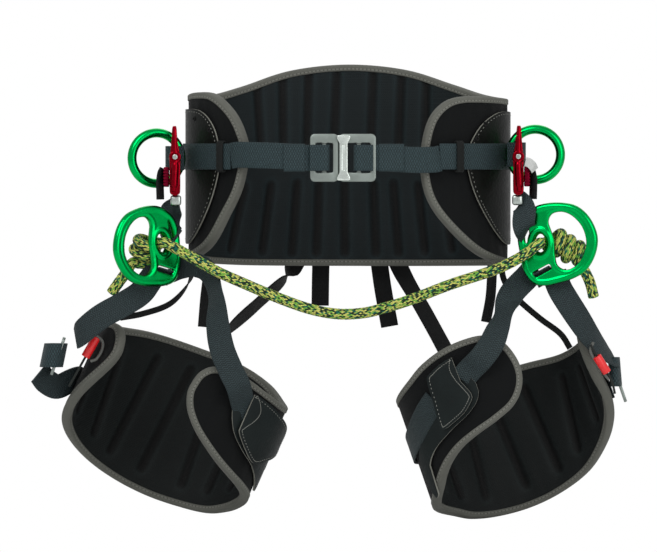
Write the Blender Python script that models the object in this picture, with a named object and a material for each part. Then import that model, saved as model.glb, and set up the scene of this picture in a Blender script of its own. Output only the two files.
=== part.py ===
"""Tree-climbing sit harness: padded waist belt, rope bridge between two rings, two padded leg loops.

Metres, +Z up. The wearer faces -Y, the wearer's left is +X, and the origin is the middle of the waist.
"""
import math

import bmesh
import bpy
import numpy as np
from mathutils import Matrix, Vector

# Clearances
GAP = 0.0003
EDGE_GAP = 0.0012

# Pad build-up, from the wearer outwards
LINING = 0.0015
BACK_FOAM = 0.0080
LEG_FOAM = 0.0060
COVER = 0.0018
BINDING_WIDTH = 0.0075
BINDING_LIP = 0.0006

# Webbing
WEBBING = 0.0022
WAIST_WIDTH = 0.030
LEG_WIDTH = 0.029
RISER_WIDTH = 0.020
ELASTIC_WIDTH = 0.007

# Waist belt
BELT_HALF_WIDTH = 0.172
BELT_HALF_DEPTH = 0.100
BACK_PAD_THICKNESS = LINING + BACK_FOAM + COVER + 2 * GAP
SHELL_FACE = BACK_PAD_THICKNESS + 0.0009
SHELL_THICKNESS = 0.0022
WEBBING_FACE = SHELL_FACE + SHELL_THICKNESS + 0.0010
BAND_HEIGHT = 0.0005
RIGHT_BAND_END = -133.0
LEFT_BAND_END = 145.0

# Front buckle
BUCKLE_MIDDLE = Vector((-0.0057, -0.1150, -0.0010))
BUCKLE_WIDTH = 0.0760
BUCKLE_HEIGHT = 0.0550
BUCKLE_THICKNESS = 0.0050
BUCKLE_RAIL = 0.0105
BUCKLE_SIDE = 0.0065
BUCKLE_SPLIT = -0.0109
BUCKLE_SPLIT_GAP = 0.0004
BUCKLE_INNER_RAIL = 0.0098
LATCH_WIDTH = 0.0092
LATCH_THICKNESS = 0.0035

# Side rings and cam buckles
SIDE_RING_RADIUS = 0.0290
SIDE_RING_SECTION = 0.0052
CHEEK_THICKNESS = 0.0030
CAM_DEPTH = 0.0340
PIN_RADIUS = 0.0030

# Bridge
BRIDGE_RING_THICKNESS = 0.0110
ROPE_RADIUS = 0.0063

# Legs
LEG_HALF_WIDTH = 0.1080
LEG_HALF_DEPTH = 0.0780
LEG_PAD_THICKNESS = LINING + LEG_FOAM + COVER + 2 * GAP

COLUMNS_PER_METRE = 70
EDGE_POINTS_PER_SPAN = 3


def clear_scene():
    for old in list(bpy.data.objects):
        bpy.data.objects.remove(old, do_unlink=True)


def material(name, colour, roughness, metallic=0.0):
    made = bpy.data.materials.new(name)
    made.use_nodes = True
    shader = made.node_tree.nodes["Principled BSDF"]
    shader.inputs["Base Color"].default_value = (*colour, 1.0)
    shader.inputs["Roughness"].default_value = roughness
    shader.inputs["Metallic"].default_value = metallic
    made.diffuse_color = (*colour, 1.0)
    return made


def finished(name, bm, mat, origin=(0.0, 0.0, 0.0)):
    """Turns a closed bmesh in world coordinates into a named object whose origin is at `origin`."""
    bmesh.ops.remove_doubles(bm, verts=bm.verts, dist=1e-6)
    bmesh.ops.recalc_face_normals(bm, faces=bm.faces)
    bmesh.ops.translate(bm, verts=bm.verts, vec=-Vector(origin))
    mesh = bpy.data.meshes.new(name)
    bm.to_mesh(mesh)
    bm.free()
    mesh.materials.append(mat)
    mesh.shade_smooth()
    mesh.set_sharp_from_angle(angle=math.radians(35))
    made = bpy.data.objects.new(name, mesh)
    made.location = origin
    bpy.context.scene.collection.objects.link(made)
    return made


def combine(base, others, operation):
    """Joins helper solids to `base`, or cuts them from it, with Boolean modifiers."""
    for other in others:
        other.hide_render = True
        other.display_type = "WIRE"
        boolean = base.modifiers.new(operation.title(), "BOOLEAN")
        boolean.operation = operation
        boolean.solver = "EXACT"
        boolean.object = other
    return base


# ---------------------------------------------------------------- curves and strips


def smooth_line(points, per_span, closed=False):
    """Catmull-Rom points through the given ones, each a sequence of numbers of any length."""
    route = [np.array(point, float) for point in points]
    count = len(route)
    if closed:
        padded = [route[-1]] + route + route[:2]
        spans = count
    else:
        padded = [2 * route[0] - route[1]] + route + [2 * route[-1] - route[-2]]
        spans = count - 1
    line = []
    for i in range(spans):
        before, start, end, after = padded[i : i + 4]
        for step in range(per_span):
            u = step / per_span
            line.append(
                0.5
                * (
                    2 * start
                    + (end - before) * u
                    + (2 * before - 5 * start + 4 * end - after) * u**2
                    + (3 * start - before - 3 * end + after) * u**3
                )
            )
    if not closed:
        line.append(route[-1])
    return line


def loft(bm, rings, closed=False):
    """Skins rings of points, each the same length, and caps the two ends of an open one."""
    rows = [[bm.verts.new(point) for point in ring] for ring in rings]
    pairs = list(zip(rows, rows[1:] + rows[:1])) if closed else list(zip(rows, rows[1:]))
    for first, second in pairs:
        for k in range(len(first)):
            after = (k + 1) % len(first)
            bm.faces.new((first[k], first[after], second[after], second[k]))
    if not closed:
        bm.faces.new(rows[0][::-1])
        bm.faces.new(rows[-1])


def ribbon(name, stations, width, mat, thickness=WEBBING, per_span=3, origin=(0.0, 0.0, 0.0)):
    """Flat webbing along stations of (x, y, z, wx, wy, wz), where w is the direction of its width."""
    line = smooth_line(stations, per_span)
    places = [Vector(point[:3]) for point in line]
    rings = []
    for i, point in enumerate(line):
        ahead = places[min(i + 1, len(line) - 1)] - places[max(i - 1, 0)]
        ahead.normalize()
        across = Vector(point[3:])
        across = (across - across.dot(ahead) * ahead).normalized()
        flat = ahead.cross(across) * (thickness / 2)
        across = across * (width / 2)
        rings.append([places[i] + across + flat, places[i] - across + flat,
                      places[i] - across - flat, places[i] + across - flat])
    bm = bmesh.new()
    loft(bm, rings)
    return finished(name, bm, mat, origin)


def cord_tube(name, route, radius, mat, resolution, per_span=3):
    """A round cord on a poly curve read from a smooth line through its route."""
    curve = bpy.data.curves.new(name, "CURVE")
    curve.dimensions = "3D"
    curve.bevel_depth = radius
    curve.bevel_resolution = resolution
    curve.use_fill_caps = True
    line = smooth_line(route, per_span)
    spline = curve.splines.new("POLY")
    spline.points.add(len(line) - 1)
    for point, place in zip(spline.points, line):
        point.co = (*place, 1.0)
    curve.materials.append(mat)
    made = bpy.data.objects.new(name, curve)
    bpy.context.scene.collection.objects.link(made)
    return made


def box(name, low, high, mat, origin=(0.0, 0.0, 0.0)):
    bm = bmesh.new()
    bmesh.ops.create_cube(bm, size=1.0)
    low = Vector(low)
    high = Vector(high)
    bmesh.ops.scale(bm, verts=bm.verts, vec=high - low)
    bmesh.ops.translate(bm, verts=bm.verts, vec=(low + high) / 2)
    return finished(name, bm, mat, origin)


def rod(name, start, end, radius, mat, segments=16, origin=(0.0, 0.0, 0.0)):
    start = Vector(start)
    end = Vector(end)
    turn = (end - start).to_track_quat("Z", "Y").to_matrix().to_4x4()
    bm = bmesh.new()
    bmesh.ops.create_cone(bm, cap_ends=True, segments=segments, radius1=radius, radius2=radius,
                          depth=(end - start).length, matrix=Matrix.Translation((start + end) / 2) @ turn)
    return finished(name, bm, mat, origin)


def slab(name, outline, thickness, place, mat, origin=(0.0, 0.0, 0.0)):
    """Extrudes an outline of (x, z) points along the local Y axis, then puts it in place."""
    bm = bmesh.new()
    rings = [[place @ Vector((x, y, z)) for x, z in outline] for y in (-thickness / 2, thickness / 2)]
    loft(bm, rings)
    return finished(name, bm, mat, origin)


def rounded_rectangle(width, height, corner, steps=3, middle=(0.0, 0.0)):
    points = []
    corners = ((1, 1, 0), (-1, 1, 90), (-1, -1, 180), (1, -1, 270))
    for side, up, start in corners:
        for step in range(steps + 1):
            angle = math.radians(start + 90 * step / steps)
            points.append((middle[0] + side * (width / 2 - corner) + corner * math.cos(angle),
                           middle[1] + up * (height / 2 - corner) + corner * math.sin(angle)))
    return points


def ellipse(width, height, middle=(0.0, 0.0), steps=16):
    angles = [2 * math.pi * i / steps for i in range(steps)]
    return [(middle[0] + width / 2 * math.cos(a), middle[1] + height / 2 * math.sin(a)) for a in angles]


def turned(points, degrees, about=(0.0, 0.0)):
    c = math.cos(math.radians(degrees))
    s = math.sin(math.radians(degrees))
    return [(about[0] + c * (x - about[0]) - s * (y - about[1]),
             about[1] + s * (x - about[0]) + c * (y - about[1])) for x, y in points]


# ---------------------------------------------------------------- pads on an oval section


def oval(half_width, half_depth, middle, across, up):
    """The section that a pad is wrapped on: angle 0 is its back, and angles grow towards `across`."""
    angles = np.radians(np.arange(-260.0, 261.0))
    steps = np.hypot(np.diff(half_width * np.sin(angles)), np.diff(half_depth * np.cos(angles)))
    lengths = np.concatenate([[0.0], np.cumsum(steps)])
    lengths -= np.interp(0.0, angles, lengths)
    return {"width": half_width, "depth": half_depth, "middle": Vector(middle),
            "across": Vector(across).normalized(), "up": Vector(up).normalized(),
            "angles": angles, "lengths": lengths}


def arc_at(section, degrees):
    return float(np.interp(math.radians(degrees), section["angles"], section["lengths"]))


def on_oval(section, arc, height, offset):
    """The point at this length round the section, this high, and this far out from its inner face."""
    angle = float(np.interp(arc, section["lengths"], section["angles"]))
    side = section["width"] * math.sin(angle)
    back = section["depth"] * math.cos(angle)
    normal = Vector((section["depth"] * math.sin(angle), section["width"] * math.cos(angle))).normalized()
    return (section["middle"] + section["across"] * (side + offset * normal.x)
            + Vector((0.0, 1.0, 0.0)) * (back + offset * normal.y) + section["up"] * height)


def pad_outline(section, corners):
    flat = [(arc_at(section, degrees), height) for degrees, height in corners]
    return smooth_line(flat, EDGE_POINTS_PER_SPAN, closed=True)


def inset(outline, distance):
    """A closed clockwise outline moved inwards by the same distance all round."""
    moved = []
    count = len(outline)
    for i, point in enumerate(outline):
        ahead = outline[(i + 1) % count] - outline[i - 1]
        ahead = ahead / np.hypot(*ahead)
        moved.append(point + distance * np.array([ahead[1], -ahead[0]]))
    return moved


def spans_at(outline, arc):
    """The lowest and highest point of an outline at one place along the pad."""
    heights = []
    for i, start in enumerate(outline):
        end = outline[(i + 1) % len(outline)]
        if (start[0] - arc) * (end[0] - arc) <= 0 and start[0] != end[0]:
            share = (arc - start[0]) / (end[0] - start[0])
            heights.append(start[1] + share * (end[1] - start[1]))
    return min(heights), max(heights)


def pad_layer(name, section, outline, inner, outer, mat, rows=3, origin=(0.0, 0.0, 0.0)):
    """One sheet of a pad, between two distances from the wearer, filling the outline."""
    first = min(point[0] for point in outline) + 0.0008
    last = max(point[0] for point in outline) - 0.0008
    columns = max(8, round((last - first) * COLUMNS_PER_METRE))
    bm = bmesh.new()
    rings = []
    for i in range(columns + 1):
        arc = first + (last - first) * (1 - math.cos(math.pi * i / columns)) / 2
        arc = 0.35 * arc + 0.65 * (first + (last - first) * i / columns)
        low, high = spans_at(outline, arc)
        heights = [low + (high - low) * k / rows for k in range(rows + 1)]
        ring = [on_oval(section, arc, height, inner) for height in heights]
        ring += [on_oval(section, arc, height, outer) for height in reversed(heights)]
        rings.append(ring)
    loft(bm, rings)
    return finished(name, bm, mat, origin)


def pad_binding(name, section, outline, inner, outer, mat, origin=(0.0, 0.0, 0.0)):
    """The folded tape round a pad's whole edge."""
    inside = inset(outline, BINDING_WIDTH)
    rings = []
    for edge, core in zip(outline, inside):
        rings.append([on_oval(section, *edge, inner), on_oval(section, *edge, outer),
                      on_oval(section, *core, outer), on_oval(section, *core, inner)])
    bm = bmesh.new()
    loft(bm, rings, closed=True)
    return finished(name, bm, mat, origin)


def band_on_oval(name, section, start, end, height, width, face, mat, origin=(0.0, 0.0, 0.0)):
    """Webbing sewn round the outside of a pad between two angles."""
    first = arc_at(section, start)
    last = arc_at(section, end)
    count = round(abs(last - first) * COLUMNS_PER_METRE)
    rings = []
    for i in range(count + 1):
        arc = first + (last - first) * i / count
        rings.append([on_oval(section, arc, height + up * width / 2, face + out * WEBBING)
                      for up, out in ((-1, 0), (-1, 1), (1, 1), (1, 0))])
    bm = bmesh.new()
    loft(bm, rings)
    return finished(name, bm, mat, origin)


# ---------------------------------------------------------------- waist belt

BELT = oval(BELT_HALF_WIDTH, BELT_HALF_DEPTH, (0, 0, 0), (1, 0, 0), (0, 0, 1))

# Clockwise from the right wing's tip: angle round the waist, height
BELT_CORNERS = [
    (-139, 0.005), (-137, 0.030), (-131, 0.054), (-120, 0.072), (-105, 0.074), (-85, 0.071), (-62, 0.071),
    (-43, 0.081), (-22, 0.099), (0, 0.106), (22, 0.100), (43, 0.083), (62, 0.071), (88, 0.067),
    (115, 0.069), (133, 0.069), (142, 0.061), (148, 0.042), (151, 0.010), (151, -0.024),
    (147.5, -0.054), (139, -0.082), (125, -0.109), (108, -0.121), (85, -0.124), (45, -0.125), (0, -0.125),
    (-45, -0.124), (-85, -0.119), (-107, -0.112), (-119, -0.098), (-128, -0.070), (-136, -0.035),
]

# Clockwise outlines of the stiff shells on the hips
RIGHT_SHELL_CORNERS = [
    (-126, 0.000), (-123, 0.032), (-114, 0.052), (-98, 0.055), (-80, 0.050), (-72, 0.020), (-72, -0.040),
    (-80, -0.085), (-96, -0.100), (-108, -0.090), (-118, -0.062), (-124, -0.030),
]
LEFT_SHELL_CORNERS = [
    (72, 0.020), (80, 0.046), (96, 0.052), (112, 0.050), (124, 0.034), (131, 0.005), (130, -0.022),
    (124, -0.055), (112, -0.088), (98, -0.101), (82, -0.088), (72, -0.045),
]


def make_back_pad(mats):
    outline = pad_outline(BELT, BELT_CORNERS)
    inside = inset(outline, BINDING_WIDTH + EDGE_GAP)
    foam_face = LINING + GAP
    cover_face = foam_face + BACK_FOAM + GAP
    pad_layer("back_pad_lining", BELT, inside, 0.0, LINING, mats["lining"])
    pad_layer("back_pad_foam", BELT, inside, foam_face, foam_face + BACK_FOAM, mats["foam"])
    pad_layer("back_pad_outer", BELT, inside, cover_face, cover_face + COVER, mats["cover"])
    pad_binding("back_pad_binding", BELT, outline, -BINDING_LIP, BACK_PAD_THICKNESS + BINDING_LIP,
                mats["binding"])


def make_hip_shells(mats):
    for tag, corners in (("right", RIGHT_SHELL_CORNERS), ("left", LEFT_SHELL_CORNERS)):
        pad_layer("side_shell_" + tag, BELT, pad_outline(BELT, corners), SHELL_FACE,
                  SHELL_FACE + SHELL_THICKNESS, mats["shell"], rows=2)


def make_waist_band(mats):
    band_on_oval("waist_band", BELT, RIGHT_BAND_END, LEFT_BAND_END, BAND_HEIGHT, WAIST_WIDTH,
                 WEBBING_FACE, mats["webbing"])
    for tag, angle in (("right", -128.0), ("left", 136.0)):
        make_keeper("waist_keeper_" + tag, angle, mats["keeper"])


def make_keeper(name, angle, mat):
    """An elastic loop that slides on the waist band."""
    wall = 0.0014
    clearance = 0.0006
    half_length = 0.0045
    arc = arc_at(BELT, angle)
    low = WEBBING_FACE - clearance
    high = WEBBING_FACE + WEBBING + 2 * clearance
    reach = WAIST_WIDTH / 2 + clearance
    outside = ((-reach - wall, low - wall), (-reach - wall, high + wall),
               (reach + wall, high + wall), (reach + wall, low - wall))
    hole = ((-reach, low), (-reach, high), (reach, high), (reach, low))
    bm = bmesh.new()
    walls = []
    for end in (arc - half_length, arc + half_length):
        for loop in (outside, hole):
            walls.append([bm.verts.new(on_oval(BELT, end, BAND_HEIGHT + up, out)) for up, out in loop])
    outer_near, hole_near, outer_far, hole_far = walls
    for k in range(4):
        after = (k + 1) % 4
        bm.faces.new((outer_near[k], outer_near[after], outer_far[after], outer_far[k]))
        bm.faces.new((hole_near[k], hole_near[after], hole_far[after], hole_far[k]))
        bm.faces.new((outer_near[k], outer_near[after], hole_near[after], hole_near[k]))
        bm.faces.new((outer_far[k], outer_far[after], hole_far[after], hole_far[k]))
    finished(name, bm, mat, on_oval(BELT, arc, BAND_HEIGHT, WEBBING_FACE))


# ---------------------------------------------------------------- front straps and buckle

# Each strap runs from the end of the waist band to its half of the buckle
RIGHT_WAIST_ROUTE = [
    (-0.1262, -0.0912, 0.0025), (-0.1060, -0.1030, 0.0020), (-0.0780, -0.1115, 0.0010),
    (-0.0460, -0.1152, -0.0005),
]
LEFT_WAIST_ROUTE = [
    (0.0990, -0.1035, -0.0040), (0.0800, -0.1095, -0.0035), (0.0590, -0.1135, -0.0025),
    (0.0345, -0.1152, -0.0012),
]


def make_front_straps(mats):
    for tag, route in (("right", RIGHT_WAIST_ROUTE), ("left", LEFT_WAIST_ROUTE)):
        stations = [(*place, 0, 0, 1) for place in route]
        ribbon("waist_strap_" + tag, stations, WAIST_WIDTH, mats["webbing"], origin=route[0])


def make_buckle(mats):
    """Two half frames; the left one carries the latch bar and the right one stops against its side."""
    right_edge = BUCKLE_MIDDLE.x - BUCKLE_WIDTH / 2
    left_edge = BUCKLE_MIDDLE.x + BUCKLE_WIDTH / 2
    make_buckle_frame("buckle_frame_right", right_edge, BUCKLE_SPLIT, BUCKLE_SIDE, BUCKLE_SIDE, mats)
    make_buckle_frame("buckle_frame_left", BUCKLE_SPLIT + BUCKLE_SPLIT_GAP, left_edge, BUCKLE_INNER_RAIL,
                      BUCKLE_SIDE, mats)
    front = BUCKLE_MIDDLE.y - BUCKLE_THICKNESS / 2 - GAP
    start = BUCKLE_SPLIT + BUCKLE_SPLIT_GAP + 0.0006
    tall = BUCKLE_HEIGHT / 2 - 0.0015
    box("buckle_latch_bar", (start, front - LATCH_THICKNESS, BUCKLE_MIDDLE.z - tall),
        (start + LATCH_WIDTH, front, BUCKLE_MIDDLE.z + tall), mats["bright"])


def make_buckle_frame(name, low, high, low_rail, high_rail, mats):
    """A half frame with two slots either side of its slider bar, whose middle is the frame's origin."""
    bar_half = 0.0022
    bar = (low + low_rail + high - high_rail) / 2
    origin = Vector((bar, BUCKLE_MIDDLE.y, BUCKLE_MIDDLE.z))
    place = Matrix.Translation(origin)
    outline = rounded_rectangle(high - low, BUCKLE_HEIGHT, 0.005, middle=((low + high) / 2 - bar, 0))
    frame = slab(name, outline, BUCKLE_THICKNESS, place, mats["satin"], origin)
    slot_height = BUCKLE_HEIGHT - 2 * BUCKLE_RAIL
    spans = ((low + low_rail - bar, -bar_half), (bar_half, high - high_rail - bar))
    cutters = []
    for number, (start, end) in enumerate(spans):
        slot = rounded_rectangle(end - start, slot_height, 0.0015, 2, ((start + end) / 2, 0))
        cutters.append(slab(f"{name}_slot_{number}", slot, 3 * BUCKLE_THICKNESS, place, mats["satin"]))
    combine(frame, cutters, "DIFFERENCE")


# ---------------------------------------------------------------- hip hardware

SIDES = {
    "right": {
        "out": -1,
        "ring": Vector((-0.2210, -0.0360, -0.0014)),
        "ring_turn": 14.0,
        "cam": Vector((-0.1990, -0.0700, 0.0000)),
        "bridge": Vector((-0.2350, -0.0950, -0.1050)),
        "bridge_turn": 36.0,
        "bridge_roll": 14.0,
    },
    "left": {
        "out": 1,
        "ring": Vector((0.2155, -0.0380, 0.0028)),
        "ring_turn": -4.0,
        "cam": Vector((0.1960, -0.0720, 0.0005)),
        "bridge": Vector((0.2460, -0.0850, -0.0990)),
        "bridge_turn": -12.0,
        "bridge_roll": 0.0,
    },
}


def make_side_ring(tag, side, mats):
    """A round ring held at its inner side by a loop of webbing on the hip."""
    out = side["out"]
    pivot = side["ring"] - Vector((out * SIDE_RING_RADIUS, 0, 0))
    turn = Matrix.Rotation(math.radians(side["ring_turn"]), 4, "Z")
    place = Matrix.Translation(pivot) @ turn @ Matrix.Translation((out * SIDE_RING_RADIUS, 0, 0))
    bm = bmesh.new()
    rings = []
    for i in range(28):
        about = 2 * math.pi * i / 28
        ring = []
        for k in range(8):
            round_it = 2 * math.pi * k / 8
            reach = SIDE_RING_RADIUS + SIDE_RING_SECTION * math.cos(round_it)
            ring.append(place @ Vector((reach * math.cos(about), SIDE_RING_SECTION * math.sin(round_it),
                                        reach * math.sin(about))))
        rings.append(ring)
    loft(bm, rings, closed=True)
    finished("side_ring_" + tag, bm, mats["green"], pivot)
    loop_depth = SIDE_RING_SECTION + 0.0053
    loop_reach = 0.0170
    root = -0.0005
    route = [(root, loop_depth), (0.006, loop_depth), (loop_reach - 0.003, loop_depth * 0.75),
             (loop_reach, 0), (loop_reach - 0.003, -loop_depth * 0.75), (0.006, -loop_depth),
             (root, -loop_depth)]
    stations = [(pivot.x + out * x, pivot.y + y, pivot.z, 0, 0, 1) for x, y in route]
    ribbon("side_ring_webbing_" + tag, stations, WAIST_WIDTH - 0.002, mats["webbing"])


# Outlines in X and Z, from the cam buckle's pin, for the right side
CHEEK_OUTLINE = [
    (-0.0035, 0.0340), (0.0005, 0.0355), (0.0035, 0.0300), (0.0055, 0.0100), (0.0080, 0.0000),
    (0.0080, -0.0300), (0.0065, -0.0400), (0.0010, -0.0445), (-0.0050, -0.0430), (-0.0080, -0.0380),
    (-0.0080, 0.0000), (-0.0060, 0.0140),
]
LEVER_OUTLINE = [
    (-0.0010, 0.0300), (0.0015, 0.0300), (0.0030, 0.0100), (0.0052, 0.0020), (0.0052, -0.0040),
    (0.0025, -0.0120), (-0.0040, -0.0150), (-0.0060, -0.0060), (-0.0058, 0.0040), (-0.0030, 0.0140),
]


def make_cam_buckle(tag, side, mats):
    """Two cheeks joined at the bottom, a toothed lever between them and the pin that it turns on."""
    middle = side["cam"]
    mirror = Matrix.Scale(side["out"] * -1, 4, (1, 0, 0))
    reach = CAM_DEPTH / 2
    places = [Matrix.Translation(middle + Vector((0, y, 0))) @ mirror for y in (-reach, reach)]
    front = slab("cam_buckle_frame_" + tag, CHEEK_OUTLINE, CHEEK_THICKNESS, places[0], mats["red"])
    rear = slab("cam_rear_cheek_" + tag, CHEEK_OUTLINE, CHEEK_THICKNESS, places[1], mats["red"])
    low = middle + Vector((0, 0, -0.0365))
    bar = rod("cam_cross_bar_" + tag, low - Vector((0, reach, 0)), low + Vector((0, reach, 0)), 0.0052,
              mats["red"], 12)
    combine(front, [rear, bar], "UNION")
    pin_reach = reach + CHEEK_THICKNESS / 2 + 0.0016
    ends = [middle - Vector((0, pin_reach, 0)), middle + Vector((0, pin_reach, 0))]
    bore_ends = [middle - Vector((0, 2 * reach, 0)), middle + Vector((0, 2 * reach, 0))]
    bore = rod("cam_bore_" + tag, *bore_ends, PIN_RADIUS + 0.0004, mats["pin"], 12)
    combine(front, [bore], "DIFFERENCE")
    lever = slab("cam_lever_" + tag, LEVER_OUTLINE, CAM_DEPTH - CHEEK_THICKNESS - 0.0010,
                 Matrix.Translation(middle) @ mirror, mats["dark_red"], middle)
    combine(lever, [bore], "DIFFERENCE")
    rod("cam_pin_" + tag, *ends, PIN_RADIUS, mats["pin"], 12)


# ---------------------------------------------------------------- rope bridge

# The left bridge ring's edge, clockwise from its top, and its holes, in X and Z from its middle
BRIDGE_RING_EDGE = [
    (0.000, 0.0465), (0.018, 0.0425), (0.033, 0.0290), (0.0420, 0.0080), (0.0395, -0.0130), (0.0290, -0.0310),
    (0.013, -0.0410), (-0.006, -0.0465), (-0.0190, -0.0490), (-0.0330, -0.0470), (-0.0445, -0.0330),
    (-0.0495, -0.0110), (-0.0520, 0.0080), (-0.0480, 0.0260), (-0.0350, 0.0400), (-0.0200, 0.0455),
]
BIG_HOLE = [
    (0.001, 0.0360), (0.0130, 0.0310), (0.0240, 0.0190), (0.0290, 0.0030), (0.0265, -0.0120), (0.0180, -0.0250),
    (0.006, -0.0310), (-0.0050, -0.0260), (-0.0080, -0.0140), (-0.0090, 0.0030), (-0.0130, 0.0150),
    (-0.0160, 0.0250), (-0.0110, 0.0340),
]
EYE = (-0.0250, 0.0000)
EYE_SIZE = (0.0150, 0.0240)
UPPER_SLOT = (-0.0420, 0.0150)
UPPER_SLOT_TURN = 6.0
LOWER_SLOT = (-0.0250, -0.0330)
LOWER_SLOT_TURN = -62.0
SLOT_SIZE = (0.0070, 0.0290)


def ring_place(side):
    """Where a bridge ring's own X, Y and Z go. The right ring is the left one mirrored."""
    turn = Matrix.Rotation(math.radians(side["bridge_turn"]), 4, "Z")
    roll = Matrix.Rotation(math.radians(-side["bridge_roll"]), 4, "Y")
    mirror = Matrix.Scale(side["out"], 4, (1, 0, 0))
    return Matrix.Translation(side["bridge"]) @ turn @ roll @ mirror


def make_bridge_ring(tag, side, mats):
    place = ring_place(side)
    eye = place @ Vector((EYE[0], 0, EYE[1]))
    slots = []
    for middle, degrees in ((UPPER_SLOT, UPPER_SLOT_TURN), (LOWER_SLOT, LOWER_SLOT_TURN)):
        slots.append(turned(rounded_rectangle(*SLOT_SIZE, 0.0030, 2, middle), degrees, middle))
    ring = slab("bridge_ring_" + tag, smooth_line(BRIDGE_RING_EDGE, 3, closed=True), BRIDGE_RING_THICKNESS,
                place, mats["green"], eye)
    holes = [smooth_line(BIG_HOLE, 2, closed=True), ellipse(*EYE_SIZE, EYE), *slots]
    cutters = [slab(f"bridge_ring_hole_{number}_{tag}", hole, 2 * BRIDGE_RING_THICKNESS, place, mats["green"])
               for number, hole in enumerate(holes)]
    combine(ring, cutters, "DIFFERENCE")


# The webbing that carries each bridge ring, from its cam buckle: x, y, z, then the direction of its width
CAM_TO_RING = {
    "right": [
        (-0.1990, -0.0660, -0.0510, 0.00, -1.00, 0.00), (-0.2010, -0.0650, -0.0580, 0.30, -0.85, -0.30),
        (-0.2050, -0.0570, -0.0690, 0.50, -0.30, -0.75), (-0.2020, -0.0530, -0.0790, 0.50, 0.10, -0.85),
    ],
    "left": [
        (0.1960, -0.0680, -0.0510, 0.00, -1.00, 0.00), (0.1985, -0.0620, -0.0590, 0.05, -0.85, -0.35),
        (0.2010, -0.0560, -0.0670, 0.05, -0.10, -0.95), (0.2000, -0.0540, -0.0770, 0.10, 0.05, -1.00),
    ],
}

# The rope hangs in one upright plane, in front of both rings' eyes
ROPE_PLANE = -0.0930
ROPE_ROUTE = [(x, ROPE_PLANE, z) for x, z in (
    (-0.2075, -0.1000), (-0.1820, -0.1140), (-0.1520, -0.1310), (-0.1196, -0.1455), (-0.0816, -0.1615),
    (-0.0449, -0.1745), (-0.0127, -0.1805), (0.0170, -0.1795), (0.0426, -0.1735), (0.0740, -0.1635),
    (0.1170, -0.1470), (0.1680, -0.1300), (0.1990, -0.1150), (0.2180, -0.1010),
)]

STOPPERS = {
    "right": {"knot": Vector((-0.2400, -0.0680, -0.1080)), "size": (0.0145, 0.0140, 0.0190), "tail": [
        (-0.2480, -0.0660, -0.1220), (-0.2560, -0.0680, -0.1340), (-0.2640, -0.0700, -0.1450),
        (-0.2710, -0.0710, -0.1550),
    ]},
    "left": {"knot": Vector((0.2470, -0.0620, -0.1010)), "size": (0.0140, 0.0140, 0.0200), "tail": [
        (0.2560, -0.0600, -0.1160), (0.2680, -0.0590, -0.1290), (0.2770, -0.0590, -0.1430),
        (0.2815, -0.0600, -0.1590),
    ]},
}


def tube(name, route, radius, mat, sides=10, per_span=2, origin=(0.0, 0.0, 0.0)):
    line = [Vector(point) for point in smooth_line(route, per_span)]
    rings = []
    side_way = Vector((0.31, 0.42, 0.85))
    for i, place in enumerate(line):
        ahead = (line[min(i + 1, len(line) - 1)] - line[max(i - 1, 0)]).normalized()
        side_way = (side_way - side_way.dot(ahead) * ahead).normalized()
        other = ahead.cross(side_way)
        angles = [2 * math.pi * k / sides for k in range(sides)]
        rings.append([place + radius * (math.cos(a) * side_way + math.sin(a) * other) for a in angles])
    bm = bmesh.new()
    loft(bm, rings)
    return finished(name, bm, mat, origin)


def make_stopper(tag, side, mats):
    """The knot behind a bridge ring, with the rope's end and the stub that fills the ring's eye."""
    stopper = STOPPERS[tag]
    place = ring_place(side)
    eye = place @ Vector((EYE[0], 0, EYE[1]))
    front = (place.to_3x3() @ Vector((0, -1, 0))).normalized()
    reach = BRIDGE_RING_THICKNESS / 2
    stub_route = [eye + front * reach, eye - front * reach, eye - front * 2 * reach, stopper["knot"]]
    bm = bmesh.new()
    bmesh.ops.create_icosphere(bm, subdivisions=2, radius=1.0)
    bmesh.ops.scale(bm, verts=bm.verts, vec=stopper["size"])
    bmesh.ops.translate(bm, verts=bm.verts, vec=stopper["knot"])
    knot = finished("stopper_knot_" + tag, bm, mats["rope"], eye)
    stub = tube("rope_stub_" + tag, stub_route, ROPE_RADIUS, mats["rope"])
    tail = tube("rope_tail_" + tag, [stopper["knot"], *stopper["tail"]], ROPE_RADIUS, mats["rope"])
    combine(knot, [stub, tail], "UNION")


def make_bridge(mats):
    for tag, side in SIDES.items():
        make_bridge_ring(tag, side, mats)
        make_stopper(tag, side, mats)
        ribbon("ring_webbing_" + tag, CAM_TO_RING[tag], LEG_WIDTH - 0.003, mats["webbing"])
    cord_tube("bridge_rope", ROPE_ROUTE, ROPE_RADIUS, mats["rope"], 3)


# ---------------------------------------------------------------- legs

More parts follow.
